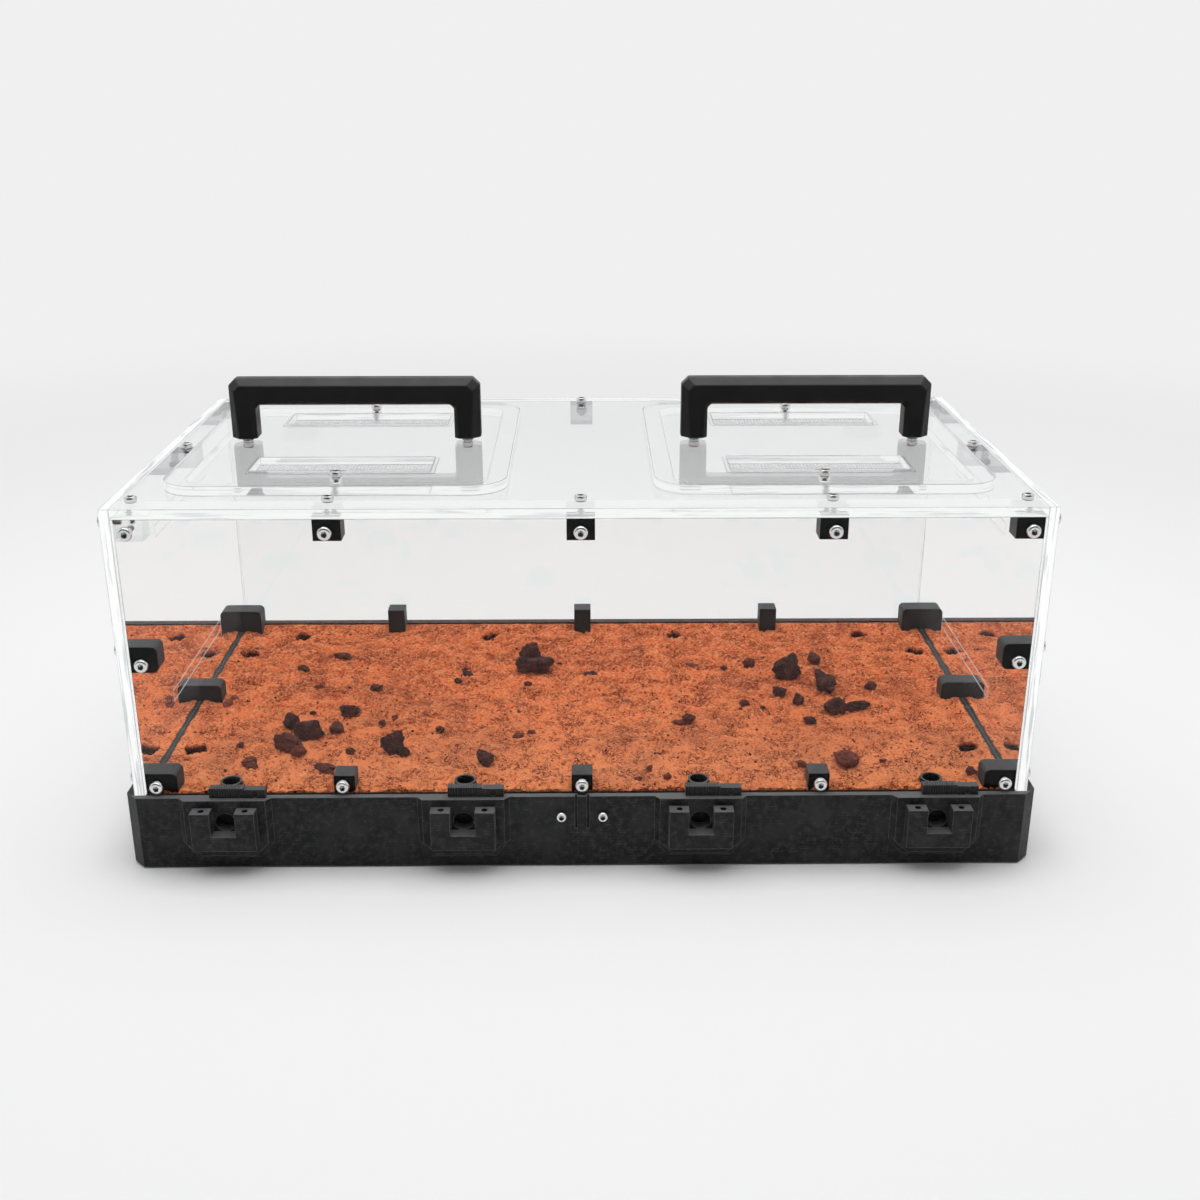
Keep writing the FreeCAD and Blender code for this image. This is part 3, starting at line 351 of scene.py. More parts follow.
@dataclass(frozen=True)
class ClearPetg(Finish):
    """Clear PETG blocks from a printer: nearly invisible face on, greyer by painted shade where they are
    seen aslant.
    """

    clear: str = "FCFCFC"
    grey: str = "B4B7B9"
    body: float = 0.04  # the share of soft gloss

    def surface(self, node: Adder) -> Node:
        """Light goes straight through with a tint that deepens aslant as painted shade, under a faint soft
        gloss.

        Args:
            node: adds a node to the material.

        Returns:
            The shader's last node.
        """
        tilt = node("LayerWeight", [0.5]).outputs["Facing"]
        # painted shade: the tint greys aslant
        aslant = node("MapRange", [tilt, 0.25, 0.8])
        tint = node("MixRGB", [aslant, self.clear, self.grey])
        through = node("BsdfTransparent", [tint])
        body = node("BsdfPrincipled", {
            "Base Color": self.clear, "Transmission Weight": 0.9, "IOR": 1.57, "Roughness": 0.3,
        })
        path = node("LightPath").outputs
        seen = node("Math", [self.body, path["Is Shadow Ray"]], operation="SUBTRACT", use_clamp=True)
        return node("MixShader", [seen, through, body])


@dataclass(frozen=True)
class RedSand(Finish):
    """Damp red desert sand and clay, pressed loosely: dull, crumbly and full of small dark pits."""

    base: str = "FA7E47"
    # pale carries painted light and the sand's own flecks; deep, pit and well carry painted shade, deep
    # also darker specks
    pale: str = "FFA772"
    deep: str = "9C3D26"
    pit: str = "3A160E"
    well: str = "120807"
    # damp patches, and painted shade towards the back
    damp_and_shade: str = "B34E30"
    # size in mm, detail, roughness and distortion of the grains, crumbs, patches, curls and beds
    noises: tuple = (
        (1.6, 3.0, 0.6, 0.0), (4.6, 4.0, 0.65, 0.0), (42, 5.0, 0.5, 0.0),
        (3.4, 2.0, 0.5, 1.6), (13, 4.0, 0.7, 0.0),
    )

    def surface(self, node: Adder) -> Node:
        """Damp patches and pale flecks over the base colour, painted light on raised ground and towards the
        front, painted shade towards the back and in the dips, cracks, pits and wells, and their relief.

        Args:
            node: adds a node to the material.

        Returns:
            The shader's last node.
        """
        place = node("TexCoord").outputs["Object"]
        hollow = node("Attribute", attribute_name="hollow").outputs["Fac"]
        grains, crumbs, patches, curls, beds = (
            node("TexNoise", {
                "Vector": place, "Scale": per_metre(size), "Detail": detail,
                "Roughness": roughness, "Distortion": distortion,
            })
            for size, detail, roughness, distortion in self.noises
        )
        back = node("SeparateXYZ", [place]).outputs["Y"]
        damp_and_shade = node("MapRange", [patches, 0.47, 0.62, 0, 0.75])
        # painted shade: the sand darker towards the back
        shaded = node("MapRange", [back, -20 * MM, 110 * MM, 0, 0.4])
        damp_and_shade = node("Math", [damp_and_shade, shaded], operation="MAXIMUM")

        # painted light on raised ground and towards the front, with the sand's own pale flecks
        lit_crests = node("MapRange", [hollow, 0.45, 0.05, 0, 0.85])
        flecks = node("MapRange", [grains, 0.5, 0.66, 0, 0.8])
        painted_front_light = node("MapRange", [back, 30 * MM, -90 * MM, 0, 0.6])
        light = node("Math", [lit_crests, flecks], operation="MAXIMUM")
        light = node("Math", [light, painted_front_light], operation="MAXIMUM")

        # painted shade in the thin cracks and in the dips, with darker specks
        thin = node("Math", [curls, 0.5], operation="SUBTRACT")
        thin = node("Math", [thin], operation="ABSOLUTE")
        cracks = node("MapRange", [thin, 0.055, 0.02, 0, 1.0])
        torn = node("MapRange", [beds, 0.54, 0.44])
        cracks = node("Math", [cracks, torn], operation="MULTIPLY")
        speck = node("MapRange", [grains, 0.42, 0.3, 0, 0.6])
        dips = node("MapRange", [hollow, 0.6, 0.95, 0, 0.85])
        shade = node("Math", [cracks, speck], operation="MAXIMUM")
        shade = node("Math", [shade, dips], operation="MAXIMUM")

        # painted shade in the sunk ground, in small pits and, darkest, in the wells
        sunk = node("MapRange", [hollow, 0.9, 1.25, 0, 0.95])
        dots = node("TexVoronoi", {"Vector": place, "Scale": per_metre(4.8)}).outputs["Distance"]
        pricked = node("MapRange", [dots, 0.2, 0.13, 0, 0.95])
        some = node("MapRange", [crumbs, 0.54, 0.48])
        pricked = node("Math", [pricked, some], operation="MULTIPLY")
        dark = node("Math", [sunk, pricked], operation="MAXIMUM")
        well = node("MapRange", [hollow, 1.5, 1.9])

        colour, relief = self.base, grains
        layers = (
            (damp_and_shade, self.damp_and_shade), (light, self.pale), (shade, self.deep), (dark, self.pit), (well, self.well),
        )
        for share, over in layers:
            colour = node("MixRGB", [share, colour, over])
        for bumps, height in ((crumbs, 0.8), (cracks, -0.5), (beds, 2.6)):
            relief = node("Math", [bumps, height, relief], operation="MULTIPLY_ADD")
        bump = node("Bump", {"Height": relief, "Strength": 1.0, "Distance": 1.6 * MM})
        return node("BsdfPrincipled", {
            "Base Color": colour, "Roughness": 0.95, "Normal": bump, "Specular IOR Level": 0.1,
        })


@dataclass(frozen=True)
class LavaRock(Finish):
    """Broken lava rock: near black and rusty brown, riddled with gas bubbles, dusty with sand."""

    dark: str = "331B19"
    rust: str = "6A3B33"
    dust: str = "A55640"

    def surface(self, node: Adder) -> Node:
        """Bubbles and grit in the relief, rusty patches, and sand dust low down on each stone.

        Args:
            node: adds a node to the material.

        Returns:
            The shader's last node.
        """
        place = node("TexCoord").outputs["Object"]
        # the share of red sand dust at each point of a stone
        paled = node("Attribute", attribute_name="paled").outputs["Fac"]
        patches = node("TexNoise", {"Vector": place, "Scale": per_metre(5), "Detail": 5.0})
        bubbles = node("TexVoronoi", {"Vector": place, "Scale": per_metre(2.2)})
        grit = node("TexNoise", {"Vector": place, "Scale": per_metre(1.1), "Detail": 4.0})
        spread = node("MapRange", [patches, 0.35, 0.7])
        colour = node("MixRGB", [spread, self.dark, self.rust])
        colour = node("MixRGB", [paled, colour, self.dust])
        relief = node("Math", [bubbles.outputs["Distance"], 0.8, grit], operation="MULTIPLY_ADD")
        bump = node("Bump", {"Height": relief, "Strength": 1.0, "Distance": 2.0 * MM})
        return node("BsdfPrincipled", {
            "Base Color": colour, "Roughness": 0.82, "Normal": bump, "Specular IOR Level": 0.3,
        })


@dataclass(frozen=True)
class Steel(Finish):
    """Bright stainless steel, turned or drawn: a clear mirror, uneven in its gloss, with painted shade in
    its sockets.
    """

    colour: str = "D9D9D9"
    painted_shade: str = "232426"
    roughness: float = 0.1
    metallic: float = 1.0

    def surface(self, node: Adder) -> Node:
        """A metal whose gloss varies over a fraction of a millimetre, with painted shade down in a hollow.

        Args:
            node: adds a node to the material.

        Returns:
            The shader's last node.
        """
        place = node("TexCoord").outputs["Object"]
        hollow = node("Attribute", attribute_name="hollow").outputs["Fac"]
        streaks = node("TexNoise", {"Vector": place, "Scale": per_metre(0.9), "Detail": 2.0})
        rough = node("MapRange", [streaks, 0, 1, self.roughness * 0.6, self.roughness * 1.6])
        # painted shade where the points are marked hollow
        colour = node("MixRGB", [hollow, self.colour, self.painted_shade])
        bump = node("Bump", {"Height": streaks, "Strength": 0.5, "Distance": 0.12 * MM})
        return node("BsdfPrincipled", {
            "Base Color": colour, "Metallic": self.metallic, "Roughness": rough, "Normal": bump,
        })


@dataclass(frozen=True)
class MouldedNylon(Finish):
    """Black moulded nylon with a spark-eroded skin: satin and finely pebbled, with painted highlights along
    its edges and on faces that look up.
    """

    colour: str = "131314"
    pale_and_highlight: str = "5E5E60"
    painted_upper_light: float = 0.36  # painted top light: how pale the faces are that look up
    roughness: float = 0.42
    fuzz: float = 0.03

    def surface(self, node: Adder) -> Node:
        """A fine pebble relief and a soft sheen over near black, with painted highlights on the edges and
        upper faces.

        Args:
            node: adds a node to the material.

        Returns:
            The shader's last node.
        """
        place = node("TexCoord").outputs["Object"]
        pebbles = node("TexNoise", {"Vector": place, "Scale": per_metre(0.55), "Detail": 2.0})
        clouds = node("TexNoise", {"Vector": place, "Scale": per_metre(9), "Detail": 5.0})
        # painted highlight where an edge turns and on faces that look up
        rounded = node("Bevel", [0.5 * MM], samples=4)
        flat = node("NewGeometry").outputs["Normal"]
        turn = node("VectorMath", [rounded, flat], operation="DOT_PRODUCT")
        edge = node("MapRange", [turn.outputs["Value"], 0.997, 0.93, 0, 0.5])
        upward = node("SeparateXYZ", [flat]).outputs["Z"]
        lit_from_above = node("MapRange", [upward, 0.3, 0.65, 0, self.painted_upper_light])
        edge = node("Math", [edge, lit_from_above], operation="MAXIMUM")
        colour = node("MixRGB", [edge, self.colour, self.pale_and_highlight])
        bump = node("Bump", {"Height": pebbles, "Strength": 0.45, "Distance": 0.08 * MM, "Normal": rounded})
        rough = node("MapRange", [clouds, 0.3, 0.7, self.roughness - 0.06, self.roughness + 0.12])
        return node("BsdfPrincipled", {
            "Base Color": colour, "Roughness": rough, "Normal": bump, "Specular IOR Level": 0.2,
            "Sheen Weight": self.fuzz, "Sheen Roughness": 0.3,
        })


@dataclass(frozen=True)
class StudioPaper(Finish):
    """White seamless paper, matt: it keeps the object's shadow and fades into the pale surround."""

    colour: str = "F3F3F3"
    surround: str = "F0F0F0"

    def surface(self, node: Adder) -> Node:
        """Matt paper near the object, and the plain surround colour far away.

        Args:
            node: adds a node to the material.

        Returns:
            The shader's last node.
        """
        place = node("TexCoord").outputs["Object"]
        reach = node("VectorMath", [place], operation="LENGTH").outputs["Value"]
        far = node("MapRange", [reach, 0.45, 1.5], interpolation_type="SMOOTHSTEP")
        share = node("Math", [far, sight(node)], operation="MULTIPLY")
        paper = node("BsdfDiffuse", [self.colour])
        glow = node("Emission", [self.surround])
        return node("MixShader", [share, paper, glow])


# ---- surfaces ----


@dataclass
class Surface:
    """A closed surface: points in metres, faces as lists of point numbers, and a mark on each point."""

    points: np.ndarray
    faces: list[list[int]]
    mark: np.ndarray | None = None

    @classmethod
    def rings(cls, rows: np.ndarray) -> "Surface":
        """Joins rings of points row to row and closes both ends with a flat face.

        Args:
            rows: rings by points by three. The rings go up and each runs anticlockwise from above.

        Returns:
            The closed surface, with its faces outwards.
        """
        count, around = rows.shape[:2]
        here = np.arange(count * around).reshape(count, around)
        after = np.roll(here, -1, axis=1)
        sides = np.stack([here[:-1], after[:-1], after[1:], here[1:]], -1).reshape(-1, 4)
        ends = [here[0][::-1].tolist(), here[-1].tolist()]
        return cls(rows.reshape(-1, 3), sides.tolist() + ends)

    @classmethod
    def ground(cls, across: np.ndarray, along: np.ndarray, heights: np.ndarray, base: float) -> "Surface":
        """A block of ground: z is the height over each (x, y), with upright sides and a flat base.

        Args:
            across: the x of each column.
            along: the y of each row.
            heights: the z of each point, rows by columns.
            base: the z of the flat underside.

        Returns:
            The closed block.
        """
        x, y = np.meshgrid(across, along)
        top = np.stack([x, y, heights], -1)
        rows, columns = heights.shape
        here = np.arange(rows * columns).reshape(rows, columns)
        tiles = np.stack([here[:-1, :-1], here[:-1, 1:], here[1:, 1:], here[1:, :-1]], -1).reshape(-1, 4)
        rim = np.concatenate([here[0, :-1], here[:-1, -1], here[-1, :0:-1], here[:0:-1, 0]])
        low = top.reshape(-1, 3)[rim].copy()
        low[:, 2] = base
        below = rows * columns + np.arange(len(rim))
        walls = np.stack([below, np.roll(below, -1), np.roll(rim, -1), rim], -1)
        points = np.concatenate([top.reshape(-1, 3), low])
        return cls(points, tiles.tolist() + walls.tolist() + [below[::-1].tolist()])

    @classmethod
    def joined(cls, parts: Sequence["Surface"]) -> "Surface":
        """Several surfaces as one, side by side.

        Args:
            parts: the surfaces, which all have marks or all have none.

        Returns:
            The one surface.
        """
        starts = np.cumsum([0] + [len(p.points) for p in parts[:-1]])
        faces = [[n + int(s) for n in f] for p, s in zip(parts, starts) for f in p.faces]
        marks = None if parts[0].mark is None else np.concatenate([p.mark for p in parts])
        return cls(np.concatenate([p.points for p in parts]), faces, marks)

    def placed(self, seat: np.ndarray, axes: np.ndarray) -> "Surface":
        """The same surface with its own x, y and z along the rows of axes, and its origin on seat."""
        return Surface(self.points @ axes + seat, self.faces, self.mark)

    def piece(
        self, name: str, finish: Material, sharp: float | None = 35.0, mark: str = "hollow"
    ) -> bpy.types.Object:
        """Makes the Blender object.

        Args:
            name: the piece's name.
            finish: its material.
            sharp: smooth shading breaks at edges that turn by more degrees than this. None is flat.
            mark: the name that the material reads the points' marks by.

        Returns:
            The new object, linked to the scene, at the origin.
        """
        mesh = bpy.data.meshes.new(name)
        mesh.from_pydata(self.points.tolist(), [], self.faces)
        mesh.materials.append(finish)
        mesh.update()
        if sharp is not None:
            mesh.shade_smooth()
            mesh.set_sharp_from_angle(angle=math.radians(sharp))
        if self.mark is not None:
            values = mesh.attributes.new(mark, "FLOAT", "POINT")
            values.data.foreach_set("value", self.mark.astype(np.float32))
        made = bpy.data.objects.new(name, mesh)
        bpy.context.scene.collection.objects.link(made)
        return made


def circle(around: int, turn: float = 0.0) -> np.ndarray:
    """Points evenly round a circle of radius one, anticlockwise: cosine and sine of each angle."""
    angle = np.arange(around) * 2 * math.pi / around + turn
    return np.stack([np.cos(angle), np.sin(angle)], -1)


def hexagon(around: int) -> np.ndarray:
    """Points round a hexagon whose flats are one from its middle, at the angles of a circle's points.

    Args:
        around: how many points go round it.

    Returns:
        The x and y of each point.
    """
    angle = np.arange(around) * 2 * math.pi / around
    reach = 1 / np.cos(angle % (math.pi / 3) - math.pi / 6)
    return circle(around) * reach[:, None]


def turned(profile: Sequence[tuple[np.ndarray, float, float]]) -> Surface:
    """A surface whose rings are outlines scaled to a radius and lifted to a level.

    Args:
        profile: the outline, radius and level of each ring, from the bottom up.

    Returns:
        The closed surface.
    """
    rows = [
        np.concatenate([outline * radius, np.full((len(outline), 1), level)], -1)
        for outline, radius, level in profile
    ]
    return Surface.rings(np.array(rows))


def dress(names: Iterable[str], finish: Material) -> None:
    """Gives CAD nodes a finish, in each of their material slots.

    Args:
        names: the nodes' names.
        finish: their material.
    """
    for name in names:
        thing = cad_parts[name]
        if not thing.material_slots:
            thing.data.materials.append(finish)
        for spot in thing.material_slots:
            spot.material = finish
        log.info("dressed %s with %s", name, finish.name)


def add(piece: bpy.types.Object, body: str, slot: str, *nodes: str) -> bpy.types.Object:
    """Lets a finished piece ride on a body and stand for CAD nodes.

    Args:
        piece: the finished piece.
        body: the body that it rides on.
        slot: not used.
        nodes: the names of the nodes that it stands for.

    Returns:
        The same piece.
    """
    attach(piece, body)
    if nodes:
        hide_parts(*nodes)
    log.info("built %s, %d faces", piece.name, len(piece.data.polygons))
    return piece


def separate_solids(name: str) -> list[np.ndarray]:
    """The points of each separate solid in a CAD node.

    Points that share a face take the lowest group number among them, again and again until
    no number changes.

    Args:
        name: the node's name.

    Returns:
        An array of points for each solid.
    """
    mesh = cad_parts[name].data
    points = np.empty(len(mesh.vertices) * 3)
    mesh.vertices.foreach_get("co", points)
    points = points.reshape(-1, 3)
    mesh.calc_loop_triangles()
    corners = np.empty(len(mesh.loop_triangles) * 3, np.int64)
    mesh.loop_triangles.foreach_get("vertices", corners)
    _, spot = np.unique(np.round(points, 6), axis=0, return_inverse=True)
    spot = spot.ravel()
    faces = spot[corners].reshape(-1, 3)
    group = np.arange(spot.max() + 1)
    while True:
        lower = group.copy()
        np.minimum.at(lower, faces.ravel(), np.repeat(group[faces].min(axis=1), 3))
        lower = lower[lower]
        if (lower == group).all():
            break
        group = lower
    return [points[group[spot] == g] for g in np.unique(group)]


# ---- tray, sand and stones ----


@dataclass
class Tray:
    """The black tray with everything fixed to it."""

    posts: tuple[str, ...] = (
        "front_post_left", "front_post_centre", "front_post_right", "back_posts",
        "corner_post_front_left", "corner_post_back_left", "side_post_left",
        "corner_post_front_right", "corner_post_back_right", "side_post_right",
    )
    ports: int = 4
    front_rim: float = -119 * MM  # the y in front of which the tray's upward faces get painted top light

    def dress(self, black: Material) -> None:
        """Black for the printed parts, with painted highlights on their edges and upper faces, and epoxy
        with painted highlights for the stops' magnets.

        Args:
            black: the material of the fixing posts.
        """
        # painted top light in front of the rim, and strong painted edge highlights
        front_lit = PrintedPetg(
            "black_printed_petg_wiped", colour="0A0A0B", pale_and_highlight="A8A8AA", painted_top_light=0.3,
            painted_top_light_before=self.front_rim, edge_highlight=1.0,
        )
        dress(("base_tray",), front_lit.material())
        dress(self.posts, black)
        # painted top light and painted edge highlights on the tubes, stops and gates
        top_and_edge_lit = PrintedPetg(
            "black_printed_petg_slid", colour="0A0A0B", pale_and_highlight="A0A0A2", painted_top_light=0.25,
            edge_mm=0.2, edge_highlight=0.85,
        ).material()
        for port in range(1, self.ports + 1):
            dress((f"entrance_tube_{port}", f"gate_stop_{port}", f"gate_{port}"), top_and_edge_lit)
        # painted highlight: the coat's pale colour on its edges and upper faces
        coat = MouldedNylon("black_epoxy_coat", colour="1C1C1D", pale_and_highlight="8A8A8B", roughness=0.3)
        dress(("stop_magnets",), coat.material())


@dataclass
class SandBed:
    """The sand in the tray: rolling and crumbly, with pits, wells and a spill over the rails."""

    pitch: float = 0.75 * MM
    side_spill: float = 2.0 * MM
    back_spill: float = 3.3 * MM
    spill_waver: float = 0.18 * MM
    edge_fade: float = 5 * MM
    well_radius: float = 4.8 * MM
    well_depth: float = 14 * MM
    well_x: float = 207.5 * MM
    well_y: float = 66 * MM
    back_well_y: float = 95 * MM
    tube_radius: float = 5.0 * MM
    tube_drop: float = 11 * MM
    tube_back: float = 5.5 * MM  # from the bore's middle to the back of the tube
    mound_reach: float = 20 * MM
    mound_height: float = 1.6 * MM
    tallest_mound: float = 1.25  # in mound heights
    mound_step: float = 0.204
    mound_rows: tuple = (  # the share of the half depth, and each mound's number of steps from the middle
        (-0.587, (0, 1, 2, 4)), (-0.196, (-2, -1, 0, 1, 2)),
        (0.196, (-4, -3, -2, 0, 1, 2)), (0.587, (-4, -3, -2, 0, 1, 2, 4)),
    )
    mound_blur: float = 12 * MM
    bumps: tuple = ((0.5, 18), (0.24, 8), (0.2, 4.2), (0.22, 2.4))  # height and spacing in millimetres
    pit_size: float = 3.2 * MM
    pit_depth: float = 1.6 * MM
    pit_from: float = 1.25  # in spreads of the noise
    pit_full: float = 1.3
    highest: float = 2.8 * MM
    crest_height: float = 0.6 * MM
    dips: tuple[float, float] = (5 * MM, 18 * MM)  # the sizes of the dips that are drawn darker with painted shade
    dip_depths: tuple[float, float] = (1.3 * MM, 4.5 * MM)
    level_mark: float = 0.42  # how hollow level ground counts
    hole_rim: float = 1.14  # in radii: where the ground starts to fall, and over what share it does
    hole_fall: float = 0.36
    shade_rim: float = 1.2  # and the same for the painted shade of the hole
    shade_fall: float = 0.18
    waver_size: float = 16 * MM
    ragged: float = 0.06
    ragged_size: float = 9 * MM
    fine_on_rail: float = 0.12  # the share of the small bumps that is left where the sand lies on a rail
    seed: int = 7

    def rates(self, shape: tuple[int, int]) -> np.ndarray:
        """How many waves of each part of a field's spectrum go into a metre."""
        along, across = np.fft.fftfreq(shape[0], self.pitch), np.fft.rfftfreq(shape[1], self.pitch)
        return np.hypot(along[:, None], across)

    def ripple(self, shape: tuple[int, int], size: float, seed: int) -> np.ndarray:
        """Random bumps of one size.

        White noise is split into waves, and each wave is weighed by a bell curve of how near
        its length is to the size. The sum is scaled to a spread of one.

        Args:
            shape: rows and columns.
            size: the bumps' spacing in metres.
            seed: the noise's seed.

        Returns:
            The bumps' heights.
        """
        noise = np.random.default_rng(self.seed * 100 + seed).standard_normal(shape)
        weight = np.exp(-0.5 * ((self.rates(shape) * size - 1) / 0.45) ** 2)
        waves = np.fft.irfft2(np.fft.rfft2(noise) * weight, s=shape)
        return waves / waves.std()

    def blurred(self, heights: np.ndarray, size: float) -> np.ndarray:
        """The same ground with every wave shorter than the size smoothed away."""
        weight = np.exp(-0.5 * (self.rates(heights.shape) * size) ** 2)
        return np.fft.irfft2(np.fft.rfft2(heights) * weight, s=heights.shape)

    def mounds(self, x: np.ndarray, y: np.ndarray, half_length: float, half_depth: float) -> np.ndarray:
        """How far the low mounds rise over each point: each is the cap of a ball.

        Args:
            x: the points' x.
            y: the points' y.
            half_length: half the sand's length.
            half_depth: half the box's inner depth.

        Returns:
            The rise of the tallest cap over each point, nought between them.
        """
        rise = np.zeros_like(x)
        for row, (back, columns) in enumerate(self.mound_rows):
            for column in columns:
                tall = self.mound_height * (0.75 + (column + row) % 3 / 4)
                ball = (self.mound_reach**2 + tall**2) / (2 * tall)
                away = (x - column * self.mound_step * half_length) ** 2 + (y - back * half_depth) ** 2
                rise = np.maximum(rise, np.sqrt(np.clip(ball**2 - away, 0, None)) - ball + tall)
        return rise

    def holes(self) -> list[tuple[float, float, float, float]]:
        """The x, y, radius and depth of each well and each entrance tube's bore.

        Returns:
            Four numbers for each hole.
        """
        tubes = [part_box(f"entrance_tube_{port}") for port in range(1, Tray.ports + 1)]
        centres = [((low.x + high.x) / 2, high.y - self.tube_back) for low, high in tubes]
        found = [(x, y, self.tube_radius, self.tube_drop) for x, y in centres]
        found += [(x, self.back_well_y, self.well_radius, self.well_depth) for x, _ in centres]
        found += [
            (side * self.well_x, end * self.well_y, self.well_radius, self.well_depth)
            for side in (-1, 1)
            for end in (-1, 1)
        ]
        return found

    def build(self, finish: Material) -> None:
        """Works out the ground once and makes its left and right halves.

        The level is the sum of the low mounds, bumps of four sizes and scattered pits. Near the
        side and back rails it rises to their top and thins out over them along a wavering line.

        Args:
            finish: the sand's material.
        """
        low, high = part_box("sand_bed")
        rail_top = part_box("base_tray")[1].z
        furthest = 2 * self.spill_waver
        side_edge = high.x + self.side_spill + furthest
        back_edge = high.y + self.back_spill + furthest / 4
        across = np.arange(-side_edge, side_edge + self.pitch / 2, self.pitch)
        along = np.arange(low.y, back_edge, self.pitch)
        x, y = np.meshgrid(across, along)
        shape = x.shape
        fine = sum(
            share * MM * self.ripple(shape, size * MM, seed)
            for seed, (share, size) in enumerate(self.bumps)
        )
        top = high.z - self.mound_height * self.tallest_mound
        rolling = self.blurred(self.mounds(x, y, high.x, -low.y), self.mound_blur)
        pitted = np.clip(self.ripple(shape, self.pit_size, 8) - self.pit_from, 0, self.pit_full)
        heights = np.minimum(top + rolling + fine - self.pit_depth * pitted, top + self.highest)
        # hollow: how far each point lies below its surroundings; the sand paints shade by it, and light on
        # raised ground
        smooth, broad = (self.blurred(heights, size) for size in self.dips)
        small, large = self.dip_depths
        hollow = self.level_mark + (smooth - heights) / small + (broad - smooth) / large
        hollow = np.clip(hollow, 0, self.pit_full)

        beyond_side, beyond_back = np.abs(x) - high.x, y - high.y
        waver = self.spill_waver * np.clip(self.ripple(shape, self.waver_size, 12), -2, 2)
        reach = np.where(beyond_back > beyond_side, self.back_spill + waver / 2, self.side_spill + waver)
        beyond = np.maximum(beyond_side, beyond_back)
        near = np.clip(1 + beyond / self.edge_fade, 0, 1)
        crest = rail_top + self.crest_height * (1 - np.maximum(beyond, 0) / reach)
        crest += self.fine_on_rail * fine
        heights = heights * (1 - near) + crest * near
        ragged = 1 + self.ragged * self.ripple(shape, self.ragged_size, 11)
        for centre_x, centre_y, radius, depth in self.holes():
            away = np.hypot(x - centre_x, y - centre_y) / radius
            if depth == self.well_depth:
                away = away * ragged
            heights -= np.clip((self.hole_rim - away) / self.hole_fall, 0, 1) * depth
            hollow = np.maximum(hollow, 2 * np.clip((self.shade_rim - away) / self.shade_fall, 0, 1))
        middle = int(np.argmin(np.abs(across)))
        for side, part in (("left", slice(None, middle + 1)), ("right", slice(middle, None))):
            ground = Surface.ground(across[part], along, heights[:, part], low.z)
            ground.mark = np.zeros(len(ground.points))
            ground.mark[: hollow[:, part].size] = hollow[:, part].ravel()
            piece = ground.piece(f"sand_{side}", finish, sharp=80)
            add(piece, "enclosure", "red_sand", "sand_bed")


class Stone(Enum):
    """The kinds of stone, by how much red dust lies on them."""

    DARK = 0.0
    BROWN = 0.16
    RED = 0.45
    PINK = 0.9


DARK, BROWN, RED, PINK = Stone


